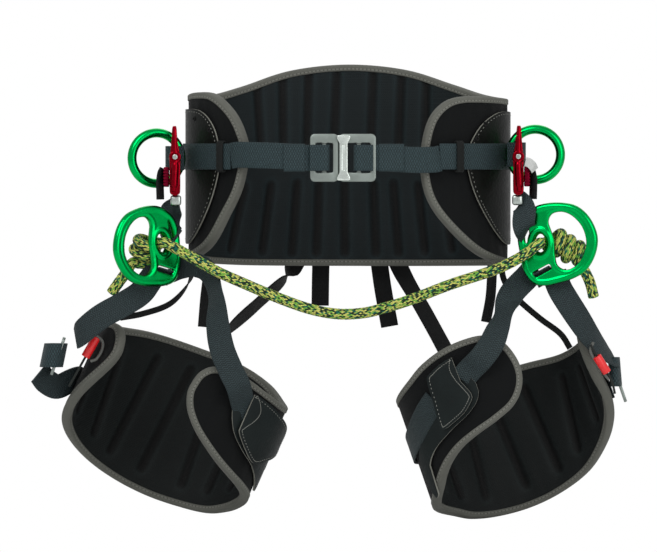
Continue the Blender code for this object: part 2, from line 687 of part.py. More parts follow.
# Leg pads: the axis leans outwards at its foot. Clockwise outlines in angle (towards the inner thigh), height
LEGS = {
    "right": {
        "out": -1,
        "middle": (-0.2040, -0.0050, -0.3030),
        "across": (0.915, 0, -0.400),
        "up": (0.400, 0, 0.915),
        "corners": [
            (-131, 0.052), (-127, 0.069), (-117, 0.077), (-90, 0.073), (-60, 0.075), (-32, 0.084),
            (-5, 0.089), (25, 0.091), (50, 0.084), (75, 0.071), (100, 0.067), (125, 0.072), (150, 0.080),
            (167, 0.078), (175, 0.066), (177.5, 0.048), (177, 0.034), (173, 0.018), (165, 0.002),
            (155, -0.011), (143, -0.023), (130, -0.032), (114, -0.040), (98, -0.047), (80, -0.057),
            (62, -0.070), (45, -0.081), (25, -0.087), (5, -0.090), (-15, -0.088), (-35, -0.081),
            (-55, -0.069), (-75, -0.053), (-90, -0.037), (-103, -0.018), (-115, 0.001), (-125, 0.022),
            (-130, 0.038),
        ],
        "tab": [
            (106, 0.010), (112, 0.048), (125, 0.062), (144, 0.063), (152, 0.045), (148, 0.027), (136, 0.012),
            (123, -0.006), (113, -0.024), (105, -0.016),
        ],
        "belt": (-86, 98, 0.000),
        "belt_tail": [(-0.3330, -0.0100, -0.2640), (-0.3470, -0.0220, -0.2580), (-0.3550, -0.0330, -0.2480)],
        "buckle": (-0.3335, -0.0440, -0.2290),
        "buckle_up": (0.330, 0, 0.944),
        "inner_strap": [
            (-0.1930, -0.0790, -0.1300, -0.50, 0.0, 0.87), (-0.1730, -0.0770, -0.1360, -0.20, -0.3, 0.90),
            (-0.1570, -0.0770, -0.1500, 0.45, -0.80, 0.30), (-0.1510, -0.0820, -0.1760, 0.60, -0.80, 0.0),
            (-0.1470, -0.0930, -0.2100, 0.90, -0.35, 0.10), (-0.1370, -0.0985, -0.2390, 0.95, -0.05, 0.30),
            (-0.1225, -0.0990, -0.2600, 0.90, 0.20, 0.45),
        ],
        "outer_strap": [
            (-0.2250, -0.0740, -0.1500, -0.52, 0.0, 0.85), (-0.2520, -0.0770, -0.1650, -0.48, 0.0, 0.87),
            (-0.2830, -0.0800, -0.1830, -0.55, 0.1, 0.80), (-0.3020, -0.0720, -0.1980, -0.60, 0.3, 0.60),
            (-0.3130, -0.0600, -0.2090, -0.35, 0.8, 0.40),
        ],
        "cord": [
            (-0.2830, -0.0500, -0.1950), (-0.2890, -0.0490, -0.2070), (-0.3020, -0.0470, -0.2300),
            (-0.3130, -0.0460, -0.2500), (-0.3210, -0.0450, -0.2640),
        ],
        "riser": [
            (-0.0560, 0.1120, -0.1150), (-0.0700, 0.1110, -0.1370), (-0.1030, 0.1040, -0.1680),
            (-0.1340, 0.0970, -0.1960), (-0.1590, 0.0910, -0.2220),
        ],
        "rear_tail": [(-0.0310, 0.1160, -0.1140), (-0.0316, 0.1165, -0.1420), (-0.0320, 0.1150, -0.1710)],
        "elastic": [
            (-0.1760, 0.0440, -0.1080), (-0.1770, 0.0420, -0.1260), (-0.1850, 0.0360, -0.1480),
            (-0.2050, 0.0280, -0.1690), (-0.2350, 0.0200, -0.1800), (-0.2620, 0.0130, -0.1850),
        ],
    },
    "left": {
        "out": 1,
        "middle": (0.1910, -0.0050, -0.3120),
        "across": (-0.946, 0, -0.326),
        "up": (-0.326, 0, 0.946),
        "corners": [
            (-111, 0.055), (-110, 0.072), (-103, 0.081), (-85, 0.075), (-62, 0.067), (-42, 0.063),
            (-20, 0.066), (10, 0.069), (45, 0.068), (75, 0.070), (100, 0.078), (121, 0.090), (137, 0.103),
            (153, 0.112), (168, 0.115), (181, 0.112), (190, 0.099), (194.5, 0.078), (195, 0.058),
            (191.5, 0.040), (184, 0.025), (172, 0.015), (158, 0.007), (146, -0.001), (135, -0.012),
            (125, -0.025), (114, -0.041), (99, -0.054), (80, -0.062), (60, -0.072), (44, -0.083),
            (25, -0.090), (5, -0.092), (-15, -0.087), (-36, -0.074), (-56, -0.051), (-74, -0.027),
            (-90, -0.003), (-103, 0.015), (-109, 0.034),
        ],
        "tab": [
            (139, 0.050), (140, 0.084), (150, 0.093), (160, 0.098), (165, 0.086), (165, 0.060), (162, 0.046),
            (152, 0.034), (142, 0.027),
        ],
        "belt": (-86, 130, 0.010),
        "belt_tail": [],
        "buckle": (0.3120, 0.0050, -0.2600),
        "buckle_up": (-0.326, 0, 0.946),
        "inner_strap": [
            (0.2120, -0.0660, -0.1400, 0.75, 0.0, 0.65), (0.2010, -0.0665, -0.1545, 0.80, -0.1, 0.60),
            (0.1885, -0.0780, -0.1680, 0.85, -0.1, 0.50), (0.1770, -0.0900, -0.1850, 0.90, -0.1, 0.40),
            (0.1670, -0.1000, -0.2100, 0.85, 0.0, 0.50), (0.1530, -0.1030, -0.2310, 0.75, 0.0, 0.65),
            (0.1400, -0.1030, -0.2480, 0.68, 0.0, 0.72),
        ],
        "outer_strap": [
            (0.2430, -0.0760, -0.1500, 0.90, 0.0, 0.40), (0.2510, -0.0740, -0.1640, 0.88, 0.1, 0.42),
            (0.2640, -0.0660, -0.1840, 0.80, 0.3, 0.45), (0.2790, -0.0500, -0.2060, 0.60, 0.6, 0.40),
            (0.2950, -0.0310, -0.2230, 0.30, 0.9, 0.40), (0.3070, -0.0150, -0.2330, 0.10, 1.0, 0.20),
        ],
        "cord": [
            (0.2790, -0.0620, -0.2160), (0.2860, -0.0600, -0.2290), (0.2980, -0.0560, -0.2480),
            (0.3040, -0.0520, -0.2600), (0.3070, -0.0480, -0.2720),
        ],
        "riser": [
            (0.0540, 0.1120, -0.1160), (0.0660, 0.1110, -0.1400), (0.0880, 0.1060, -0.1780),
            (0.1120, 0.0990, -0.2220), (0.1310, 0.0930, -0.2600),
        ],
        "rear_tail": [(0.0350, 0.1160, -0.1140), (0.0400, 0.1165, -0.1500), (0.0480, 0.1150, -0.1950)],
        "elastic": [
            (0.1760, 0.0440, -0.1120), (0.1790, 0.0420, -0.1400), (0.1940, 0.0360, -0.1620),
            (0.2200, 0.0290, -0.1850), (0.2440, 0.0220, -0.2030),
        ],
    },
}

LEG_BUCKLE_LENGTH = 0.0460
LEG_BUCKLE_WIDTH = 0.0400
LEG_BUCKLE_THICKNESS = 0.0036
LEG_BUCKLE_RAIL = 0.0050
SLEEVE_RADIUS = 0.0055
CORD_RADIUS = 0.0014
TAB_THICKNESS = 0.0030


def make_leg_pad(tag, leg, section, mats):
    outline = pad_outline(section, leg["corners"])
    inside = inset(outline, BINDING_WIDTH + EDGE_GAP)
    pad_layer("leg_pad_lining_" + tag, section, inside, 0.0, LINING, mats["lining"])
    pad_layer("leg_pad_outer_" + tag, section, inside, LINING + GAP, LEG_PAD_THICKNESS, mats["cover"])
    pad_binding("leg_pad_binding_" + tag, section, outline, -BINDING_LIP, LEG_PAD_THICKNESS + BINDING_LIP,
                mats["binding"])
    face = LEG_PAD_THICKNESS + 0.0018
    pad_layer("leather_tab_" + tag, section, pad_outline(section, leg["tab"]), face, face + TAB_THICKNESS,
              mats["leather"], rows=2)


def make_leg_belt(tag, leg, section, mats):
    """Webbing round the outside of the leg pad, then out to the buckle."""
    start, end, height = leg["belt"]
    count = 18
    stations = [(*place, *section["up"]) for place in reversed(leg["belt_tail"])]
    for i in range(count + 1):
        arc = arc_at(section, start + (end - start) * i / count)
        place = on_oval(section, arc, height, LEG_PAD_THICKNESS + 0.0030)
        stations.append((*place, *section["up"]))
    ribbon("leg_belt_" + tag, stations, LEG_WIDTH, mats["webbing"], per_span=1)


def make_leg_buckle(tag, leg, mats):
    """A flat frame whose plane holds the Y axis, and the bar across its middle."""
    up = Vector(leg["buckle_up"]).normalized()
    along = Vector((0, 1, 0))
    turn = Matrix((along, up.cross(along), up)).transposed().to_4x4()
    place = Matrix.Translation(leg["buckle"]) @ turn
    frame = slab("leg_buckle_frame_" + tag, rounded_rectangle(LEG_BUCKLE_WIDTH, LEG_BUCKLE_LENGTH, 0.006),
                 LEG_BUCKLE_THICKNESS, place, mats["satin"], leg["buckle"])
    opening = rounded_rectangle(LEG_BUCKLE_WIDTH - 2 * LEG_BUCKLE_RAIL,
                                LEG_BUCKLE_LENGTH - 2 * LEG_BUCKLE_RAIL, 0.003)
    cutter = slab("leg_buckle_opening_" + tag, opening, 3 * LEG_BUCKLE_THICKNESS, place, mats["satin"])
    combine(frame, [cutter], "DIFFERENCE")
    reach = LEG_BUCKLE_WIDTH / 2 - LEG_BUCKLE_RAIL - GAP
    rod("leg_buckle_bar_" + tag, place @ Vector((-reach, 0, 0)), place @ Vector((reach, 0, 0)), 0.0024,
        mats["bright"], 10, leg["buckle"])


def make_release_cord(tag, leg, mats):
    route = leg["cord"]
    tube("release_cord_" + tag, route, CORD_RADIUS, mats["cord"], 6)
    start = Vector(route[1])
    end = Vector(route[2])
    sleeve = rod("red_sleeve_" + tag, start, end, SLEEVE_RADIUS, mats["sleeve"], 14)
    past = (end - start) * 0.2
    bore = rod("sleeve_bore_" + tag, start - past, end + past, CORD_RADIUS + 0.0016, mats["sleeve"], 8)
    combine(sleeve, [bore], "DIFFERENCE")


def make_leg(tag, leg, mats):
    section = oval(LEG_HALF_WIDTH, LEG_HALF_DEPTH, leg["middle"], leg["across"], leg["up"])
    make_leg_pad(tag, leg, section, mats)
    make_leg_belt(tag, leg, section, mats)
    make_leg_buckle(tag, leg, mats)
    make_release_cord(tag, leg, mats)
    ribbon("leg_strap_inner_" + tag, leg["inner_strap"], LEG_WIDTH, mats["webbing"])
    ribbon("leg_strap_outer_" + tag, leg["outer_strap"], LEG_WIDTH, mats["webbing"])
    down_and_out = Vector((-leg["out"] * 0.75, 0, -0.66))
    riser = [(*place, -down_and_out.z, 0, down_and_out.x) for place in leg["riser"]]
    ribbon("rear_riser_" + tag, riser, RISER_WIDTH, mats["riser"])
    ribbon("rear_strap_tail_" + tag, [(*place, 1, 0, 0) for place in leg["rear_tail"]], RISER_WIDTH,
           mats["riser"])
    ribbon("side_elastic_" + tag, [(*place, 0.5, 0, 0.87) for place in leg["elastic"]], ELASTIC_WIDTH,
           mats["riser"], thickness=0.0016)


# ---------------------------------------------------------------- whole harness


def make_materials():
    return {
        "lining": material("black_mesh_lining", (0.012, 0.013, 0.017), 0.62),
        "foam": material("grey_foam", (0.10, 0.10, 0.10), 0.95),
        "cover": material("black_fabric", (0.013, 0.013, 0.013), 0.85),
        "binding": material("grey_binding_tape", (0.155, 0.150, 0.135), 0.80),
        "shell": material("olive_black_shell", (0.030, 0.029, 0.024), 0.45),
        "webbing": material("slate_webbing", (0.035, 0.045, 0.048), 0.75),
        "riser": material("black_webbing", (0.012, 0.012, 0.012), 0.80),
        "keeper": material("black_elastic", (0.020, 0.021, 0.023), 0.80),
        "leather": material("charcoal_leather", (0.022, 0.025, 0.026), 0.50),
        "green": material("green_anodised_alloy", (0.000, 0.270, 0.050), 0.28, 0.9),
        "red": material("red_anodised_alloy", (0.300, 0.006, 0.016), 0.30, 0.9),
        "dark_red": material("dark_red_anodised_alloy", (0.150, 0.004, 0.020), 0.32, 0.9),
        "pin": material("zinc_plated_pin", (0.620, 0.620, 0.640), 0.30, 1.0),
        "satin": material("grey_satin_alloy", (0.300, 0.300, 0.290), 0.42, 0.9),
        "bright": material("bright_steel", (0.750, 0.750, 0.750), 0.22, 1.0),
        "rope": material("lime_rope", (0.330, 0.450, 0.050), 0.80),
        "cord": material("thin_dark_cord", (0.050, 0.055, 0.050), 0.70),
        "sleeve": material("red_sleeve_plastic", (0.650, 0.018, 0.012), 0.45),
    }


def main():
    clear_scene()
    mats = make_materials()
    make_back_pad(mats)
    make_hip_shells(mats)
    make_waist_band(mats)
    make_front_straps(mats)
    make_buckle(mats)
    for tag, side in SIDES.items():
        make_side_ring(tag, side, mats)
        make_cam_buckle(tag, side, mats)
    make_bridge(mats)
    for tag, leg in LEGS.items():
        make_leg(tag, leg, mats)


main()
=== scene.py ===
# Tree-climbing sit harness: the looks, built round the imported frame. Metres, +Z up, the wearer faces -Y.
import math

import bmesh
import bpy
import numpy as np
from mathutils import Matrix, Vector


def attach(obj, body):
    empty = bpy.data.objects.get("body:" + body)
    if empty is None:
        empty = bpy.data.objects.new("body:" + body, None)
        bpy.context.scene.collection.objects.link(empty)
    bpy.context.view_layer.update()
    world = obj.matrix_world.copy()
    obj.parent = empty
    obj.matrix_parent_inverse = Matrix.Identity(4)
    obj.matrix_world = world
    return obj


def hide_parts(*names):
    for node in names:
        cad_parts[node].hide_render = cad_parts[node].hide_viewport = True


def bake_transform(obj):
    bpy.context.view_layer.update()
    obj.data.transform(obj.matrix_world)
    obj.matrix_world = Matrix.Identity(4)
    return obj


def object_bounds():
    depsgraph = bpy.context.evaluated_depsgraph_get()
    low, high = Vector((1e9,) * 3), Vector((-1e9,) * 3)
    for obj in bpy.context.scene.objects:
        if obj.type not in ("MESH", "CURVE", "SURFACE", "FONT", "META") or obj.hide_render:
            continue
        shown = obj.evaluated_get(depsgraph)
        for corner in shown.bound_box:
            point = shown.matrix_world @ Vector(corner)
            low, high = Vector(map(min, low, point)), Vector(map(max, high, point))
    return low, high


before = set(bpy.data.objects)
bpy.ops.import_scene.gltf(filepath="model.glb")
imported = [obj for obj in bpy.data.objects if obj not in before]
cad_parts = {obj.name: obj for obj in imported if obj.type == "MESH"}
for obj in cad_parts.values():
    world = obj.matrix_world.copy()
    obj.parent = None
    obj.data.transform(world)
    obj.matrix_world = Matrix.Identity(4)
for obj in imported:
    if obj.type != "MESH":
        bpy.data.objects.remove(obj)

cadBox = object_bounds()
scene = bpy.context.scene
sides = (("right", -1), ("left", 1))


# ---- small helpers

def deselectAll():
    if bpy.context.object and bpy.context.object.mode != "OBJECT":
        bpy.ops.object.mode_set(mode="OBJECT")
    bpy.ops.object.select_all(action="DESELECT")


def pick(obj):
    deselectAll()
    bpy.context.view_layer.objects.active = obj
    obj.select_set(True)
    return obj


def modify(obj, kind, **settings):
    # adds a modifier and applies it at once
    pick(obj)
    added = obj.modifiers.new(kind.title(), kind)
    for key, value in settings.items():
        setattr(added, key, value)
    bpy.ops.object.modifier_apply(modifier=added.name)
    return obj


def editFaces(obj, wanted):
    # leaves edit mode open with the faces that pass the test selected
    pick(obj)
    bpy.ops.object.mode_set(mode="EDIT")
    bpy.ops.mesh.select_mode(type="FACE")
    bpy.ops.mesh.select_all(action="DESELECT")
    mesh = bmesh.from_edit_mesh(obj.data)
    for face in mesh.faces:
        face.select_set(bool(wanted(face)))
    mesh.select_flush_mode()
    bmesh.update_edit_mesh(obj.data)


def leaveEdit():
    bpy.ops.object.mode_set(mode="OBJECT")


def cleanShell(obj, weld=1e-6):
    # points every face outwards, after welding the seams unless weld is 0
    pick(obj)
    bpy.ops.object.mode_set(mode="EDIT")
    bpy.ops.mesh.select_all(action="SELECT")
    if weld:
        bpy.ops.mesh.remove_doubles(threshold=weld)
    bpy.ops.mesh.normals_make_consistent(inside=False)
    leaveEdit()
    return obj


def bevel(obj, width, segments=3, degrees=40):
    return modify(obj, "BEVEL", width=width, segments=segments, limit_method="ANGLE",
                  angle_limit=math.radians(degrees))


def smooth(obj, degrees):
    pick(obj)
    bpy.ops.object.shade_smooth_by_angle(angle=math.radians(degrees))
    return obj


def bakePlace(obj):
    pick(obj)
    bpy.ops.object.transform_apply(location=True, rotation=True, scale=True)
    return obj


def named(obj, name):
    obj.name = name
    obj.data.name = name
    return obj


def dress(obj, mat, degrees=40):
    # one material, and smooth shading wherever faces meet at less than the angle
    obj.data.materials.clear()
    obj.data.materials.append(mats[mat])
    return smooth(obj, degrees)


def settle(obj, body, slot, *nodes):
    # last step for each piece: body and the frame nodes that it stands for; slot is not used
    if body:
        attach(obj, body)
    if nodes:
        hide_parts(*nodes)
    return obj


def join(name, pieces):
    deselectAll()
    for piece in pieces:
        piece.select_set(True)
    bpy.context.view_layer.objects.active = pieces[0]
    bpy.ops.object.join()
    return named(bpy.context.object, name)


def smoothRoute(points, perSpan, closed=False):
    # Catmull-Rom line through the points, each of any length
    route = [np.array(point, float) for point in points]
    if closed:
        padded, spans = [route[-1]] + route + route[:2], len(route)
    else:
        padded = [2 * route[0] - route[1]] + route + [2 * route[-1] - route[-2]]
        spans = len(route) - 1
    line = []
    for i in range(spans):
        a, b, c, d = padded[i : i + 4]
        for step in range(perSpan):
            u = step / perSpan
            line.append(0.5 * (2 * b + (c - a) * u + (2 * a - 5 * b + 4 * c - d) * u**2
                               + (3 * b - a - 3 * c + d) * u**3))
    if not closed:
        line.append(route[-1])
    return line


def lengthAlong(line):
    steps = [0.0]
    for before, after in zip(line, line[1:]):
        steps.append(steps[-1] + float(np.linalg.norm(np.array(after[:3]) - np.array(before[:3]))))
    return steps


def meshPiece(name, points, faces, uvs=None):
    # a new mesh from points and faces, with one UV pair for each corner of each face
    mesh = bpy.data.meshes.new(name)
    mesh.from_pydata([tuple(p) for p in points], [], faces)
    if uvs is not None:
        layer = mesh.uv_layers.new(name="UVMap")
        layer.data.foreach_set("uv", np.array(uvs, np.float32).ravel())
    mesh.update()
    obj = bpy.data.objects.new(name, mesh)
    scene.collection.objects.link(obj)
    return obj


# ---- camera, floor and light

cameraValues = {"middle": (-0.0224, -0.1369), "distance": 3.0, "frameWidth": 0.7556}
stageValues = {
    "floorSize": 12.0, "floorGap": 0.004, "floorColour": (0.86, 0.86, 0.86), "worldStrength": 0.62,
    "lights": {
        "keyLight": ((-0.9, -1.9, 1.5), 26.0, 1.3), "fillLight": ((1.3, -1.7, 0.5), 15.0, 1.5),
        "rimLight": ((0.2, 1.6, 1.6), 9.0, 1.6)},
    "lightTarget": (0, 0, -0.12)}


def makeCamera():
    across, up = cameraValues["middle"]
    bpy.ops.object.camera_add(location=(across, -cameraValues["distance"], up), rotation=(math.pi / 2, 0, 0))
    camera = bpy.context.object
    camera.name = "frontCamera"
    camera.data.type = "ORTHO"
    camera.data.ortho_scale = cameraValues["frameWidth"]
    camera.data.clip_end = 30
    scene.camera = camera


def makeStage():
    low = cadBox[0].z - stageValues["floorGap"]
    deselectAll()
    bpy.ops.mesh.primitive_plane_add(size=stageValues["floorSize"], location=(0, 0, low))
    floor = named(bpy.context.object, "paleFloor")
    floor.data.materials.append(startMaterial("floorPaper", stageValues["floorColour"], 0.9))
    bakePlace(floor)
    world = bpy.data.worlds.new("softRoom")
    scene.world = world
    world.use_nodes = True
    tree = world.node_tree
    room = tree.nodes["Background"]
    room.inputs["Color"].default_value = (1, 1, 1, 1)
    room.inputs["Strength"].default_value = stageValues["worldStrength"]
    paper = tree.nodes.new("ShaderNodeBackground")
    paper.inputs["Color"].default_value = (1, 1, 1, 1)
    seen = tree.nodes.new("ShaderNodeLightPath")
    either = tree.nodes.new("ShaderNodeMixShader")
    tree.links.new(seen.outputs["Is Camera Ray"], either.inputs["Fac"])
    tree.links.new(room.outputs["Background"], either.inputs[1])
    tree.links.new(paper.outputs["Background"], either.inputs[2])
    tree.links.new(either.outputs["Shader"], tree.nodes["World Output"].inputs["Surface"])
    for name, (place, power, size) in stageValues["lights"].items():
        addSoftLight(name, place, power, size)
    scene.view_settings.view_transform = "Standard"


def addSoftLight(name, place, power, size):
    bpy.ops.object.light_add(type="AREA", location=place)
    light = bpy.context.object
    light.name = name
    light.data.energy = power
    light.data.size = size
    aim = Vector(stageValues["lightTarget"]) - Vector(place)
    light.rotation_euler = aim.to_track_quat("-Z", "Y").to_euler()


# ---- materials: every pattern is on the piece's own UV map, in metres, or on Object coordinates

def startMaterial(name, colour, roughness, metallic=0.0, **shaderValues):
    mat = bpy.data.materials.new(name)
    mat.use_nodes = True
    shader = mat.node_tree.nodes["Principled BSDF"]
    shader.inputs["Base Color"].default_value = (*colour, 1)
    shader.inputs["Roughness"].default_value = roughness
    shader.inputs["Metallic"].default_value = metallic
    for key, value in shaderValues.items():
        shader.inputs[key].default_value = value
    return mat


def addNode(mat, kind, links=None, **settings):
    # links: input name or number -> another node's output, or a plain value
    tree = mat.node_tree
    made = tree.nodes.new("ShaderNode" + kind)
    for key, value in settings.items():
        setattr(made, key, value)
    for key, value in (links or {}).items():
        if isinstance(value, bpy.types.NodeSocket):
            tree.links.new(value, made.inputs[key])
        else:
            made.inputs[key].default_value = value
    return made


def maths(mat, operation, first, second=0.0, third=None):
    links = {0: first, 1: second}
    if third is not None:
        links[2] = third
    return addNode(mat, "Math", links, operation=operation).outputs[0]


def times(mat, first, second):
    return maths(mat, "MULTIPLY", first, second)


def scaled(mat, value, factor, more):
    return maths(mat, "MULTIPLY_ADD", value, factor, more)


def coordinates(mat, kind="UV"):
    # the three separate numbers of the piece's UV or Object coordinates, and the vector itself
    vector = addNode(mat, "TexCoord").outputs[kind]
    parts = addNode(mat, "SeparateXYZ", {0: vector}).outputs
    return parts[0], parts[1], parts[2], vector


def noise(mat, vector, scale, detail=3.0, roughness=0.55):
    links = {"Vector": vector, "Scale": scale, "Detail": detail, "Roughness": roughness}
    return addNode(mat, "TexNoise", links).outputs["Fac"]


def ramp(mat, value, stops):
    made = addNode(mat, "ValToRGB", {0: value})
    line = made.color_ramp
    while len(line.elements) < len(stops):
        line.elements.new(0.5)
    for element, (place, colour) in zip(line.elements, stops):
        element.position = place
        element.color = (*colour, 1) if len(colour) == 3 else (colour[0],) * 3 + (1,)
    return made.outputs["Color"]


def mixColour(mat, share, first, second):
    made = addNode(mat, "Mix", data_type="RGBA")
    for key, value in ((0, share), (6, first), (7, second)):
        if isinstance(value, bpy.types.NodeSocket):
            mat.node_tree.links.new(value, made.inputs[key])
        else:
            made.inputs[key].default_value = value if key == 0 else (*value, 1)
    return made.outputs[2]


def bands(mat, value, pitch):
    # a smooth wave from 0 to 1 that repeats every pitch
    wave = maths(mat, "SINE", times(mat, value, 2 * math.pi / pitch))
    return scaled(mat, wave, 0.5, 0.5)


def finishMaterial(mat, colour=None, roughness=None, height=None, strength=0.5, distance=0.0005):
    tree = mat.node_tree
    shader = tree.nodes["Principled BSDF"]
    if colour is not None:
        tree.links.new(colour, shader.inputs["Base Color"])
    if roughness is not None:
        tree.links.new(roughness, shader.inputs["Roughness"])
    if height is not None:
        bump = addNode(mat, "Bump", {"Strength": strength, "Distance": distance, "Height": height})
        tree.links.new(bump.outputs["Normal"], shader.inputs["Normal"])
    return mat


def tone(colour, factor):
    return tuple(min(1.0, part * factor) for part in colour)


def matt(specular=0.12):
    # cloth: hardly any mirror reflection and a trace of sheen
    return {"Specular IOR Level": specular, "Sheen Weight": 0.03, "Sheen Roughness": 0.5}


def weaveMaterial(name, colour, pitch, roughness):
    # plain woven cloth: threads over and under, patches of wear and a little dust
    mat = startMaterial(name, colour, roughness, **matt())
    u, v, _, vector = coordinates(mat)
    along, across = bands(mat, u, pitch), bands(mat, v, pitch)
    checks = maths(mat, "ABSOLUTE", maths(mat, "SUBTRACT", along, across))
    patches = noise(mat, vector, 26.0)
    threads = mixColour(mat, checks, tone(colour, 0.55), tone(colour, 1.3))
    worn = mixColour(mat, ramp(mat, patches, ((0.35, (0,)), (0.72, (1,)))), threads, tone(colour, 1.35))
    shade = mixColour(mat, 0.35, threads, worn)
    rough = scaled(mat, patches, 0.18, roughness - 0.09)
    return finishMaterial(mat, shade, rough, checks, 0.55, 0.0005)


def meshLiningMaterial(name, colour, pitch, roughness):
    # spacer mesh: rows of small holes set half a step apart
    mat = startMaterial(name, colour, roughness, **matt(0.16))
    u, v, _, vector = coordinates(mat)
    sway = scaled(mat, maths(mat, "SINE", times(mat, v, math.pi / pitch)), pitch * 0.5, u)
    holes = times(mat, bands(mat, sway, pitch), bands(mat, v, pitch * 0.8))
    patches = noise(mat, vector, 18.0)
    shade = mixColour(mat, holes, tone(colour, 1.5), tone(colour, 0.45))
    shade = mixColour(mat, times(mat, patches, 0.5), shade, tone(colour, 1.8))
    # the pleats: painted shade, nearly black along each sewn channel, and a painted highlight, a lighter swell
    # beside it
    pleatShadeAndHighlight = addNode(mat, "Attribute", attribute_name="pleatShadeAndHighlight").outputs["Fac"]
    swell = ramp(mat, pleatShadeAndHighlight, ((0.0, (0,)), (0.28, (0.55,)), (0.5, (0,))))
    shade = mixColour(mat, swell, shade, tone(colour, 3.2))
    shade = mixColour(mat, ramp(mat, pleatShadeAndHighlight, ((0.45, (0,)), (0.85, (0.96,)))), shade, tone(colour, 0.06))
    rough = scaled(mat, patches, 0.2, roughness - 0.1)
    return finishMaterial(mat, shade, rough, maths(mat, "SUBTRACT", 1.0, holes), 0.5, 0.0005)


def webbingMaterial(name, colour, pitch=0.0025, width=0.03, basket=0.0):
    # ribbed webbing: u runs across from -width/2, v along. The ribs bend to and fro and the edges are denser;
    # basket is the pitch of a coarser weave
    mat = startMaterial(name, colour, 0.62, **matt(0.2))
    u, v, _, vector = coordinates(mat)
    share = maths(mat, "FRACT", maths(mat, "DIVIDE", u, 0.006))
    aside = maths(mat, "ABSOLUTE", maths(mat, "SUBTRACT", share, 0.5))
    slope = scaled(mat, aside, 0.0042, v)
    ribs = bands(mat, slope, pitch)
    if basket:
        row = times(mat, maths(mat, "FLOOR", maths(mat, "DIVIDE", u, basket)), basket / 2)
        ribs = bands(mat, maths(mat, "ADD", v, row), basket)
    threads = bands(mat, u, basket or 0.0011)
    relief = scaled(mat, threads, 0.35, ribs)
    edge = maths(mat, "GREATER_THAN", maths(mat, "ABSOLUTE", u), width / 2 - 0.0016)
    patches = noise(mat, vector, 34.0)
    fine = noise(mat, vector, 900.0)
    shade = mixColour(mat, ribs, tone(colour, 0.12), tone(colour, 2.5))
    shade = mixColour(mat, ramp(mat, fine, ((0.35, (0,)), (0.7, (1,)))), tone(colour, 0.5), shade)
    shade = mixColour(mat, times(mat, edge, 0.5), shade, tone(colour, 0.65))
    shade = mixColour(mat, times(mat, patches, 0.3), shade, tone(colour, 1.6))
    rough = scaled(mat, patches, 0.2, 0.52)
    return finishMaterial(mat, shade, rough, relief, 0.75, 0.0006)


def bindingMaterial(name, colour, stitchColour):
    # grosgrain tape: u from -1 to 1 across the visible faces of the fold, v along in metres, and one row of
    # stitches on each side
    mat = startMaterial(name, colour, 0.78, **matt(0.2))
    u, v, _, _ = coordinates(mat)
    ribs = bands(mat, v, 0.0016)
    fromRow = maths(mat, "ABSOLUTE", maths(mat, "SUBTRACT", maths(mat, "ABSOLUTE", u), 0.62))
    onRow = maths(mat, "LESS_THAN", fromRow, 0.09)
    dash = maths(mat, "LESS_THAN", maths(mat, "FRACT", maths(mat, "DIVIDE", v, 0.0046)), 0.68)
    stitch = times(mat, onRow, dash)
    patches = noise(mat, coordinates(mat, "Object")[3], 45.0)
    shade = mixColour(mat, ribs, tone(colour, 0.72), tone(colour, 1.15))
    shade = mixColour(mat, times(mat, patches, 0.5), shade, tone(colour, 0.6))
    # painted shade: the band of each stitch row, where the tape dips, is darkened
    shade = mixColour(mat, onRow, shade, tone(colour, 0.5))
    shade = mixColour(mat, stitch, shade, stitchColour)
    relief = scaled(mat, stitch, 1.4, times(mat, ribs, 0.4))
    return finishMaterial(mat, shade, scaled(mat, patches, 0.15, 0.7), relief, 0.55, 0.0005)


def leatherMaterial(name, colour, roughness, grain=420.0):
    mat = startMaterial(name, colour, roughness, **{"Specular IOR Level": 0.12})
    vector = coordinates(mat, "Object")[3]
    cells = addNode(mat, "TexVoronoi", {"Vector": vector, "Scale": grain}).outputs["Distance"]
    patches = noise(mat, vector, 30.0, 4.0)
    creases = noise(mat, vector, 120.0, 6.0)
    shade = mixColour(mat, patches, tone(colour, 0.6), tone(colour, 1.55))
    rough = scaled(mat, creases, 0.3, roughness - 0.15)
    relief = scaled(mat, cells, 0.8, times(mat, creases, 0.6))
    return finishMaterial(mat, shade, rough, relief, 0.35, 0.0006)


def metalMaterial(name, colour, roughness, grain=(40.0, 40.0, 900.0), wear=0.25, wearColour=None):
    # fine machining lines, faint smudges and rubbed patches
    mat = startMaterial(name, colour, roughness, 1.0)
    vector = coordinates(mat, "Object")[3]
    stretched = addNode(mat, "Mapping", {"Vector": vector, "Scale": grain}).outputs[0]
    lines = noise(mat, stretched, 1.0, 5.0)
    smudge = noise(mat, vector, 55.0, 4.0)
    rubbed = ramp(mat, noise(mat, vector, 210.0, 6.0, 0.7), ((0.6, (0,)), (0.74, (1,))))
    shade = mixColour(mat, smudge, tone(colour, 0.78), tone(colour, 1.18))
    shade = mixColour(mat, times(mat, rubbed, wear), shade, wearColour or tone(colour, 1.7))
    rough = scaled(mat, smudge, 0.16, roughness - 0.08)
    rough = scaled(mat, lines, 0.1, maths(mat, "SUBTRACT", rough, 0.05))
    return finishMaterial(mat, shade, rough, lines, 0.06, 0.0004)


ropeColours = {"lime": (0.17, 0.42, 0.05), "yellow": (0.7, 0.7, 0.16), "deep": (0.003, 0.022, 0.01),
               "teal": (0.0, 0.13, 0.09)}


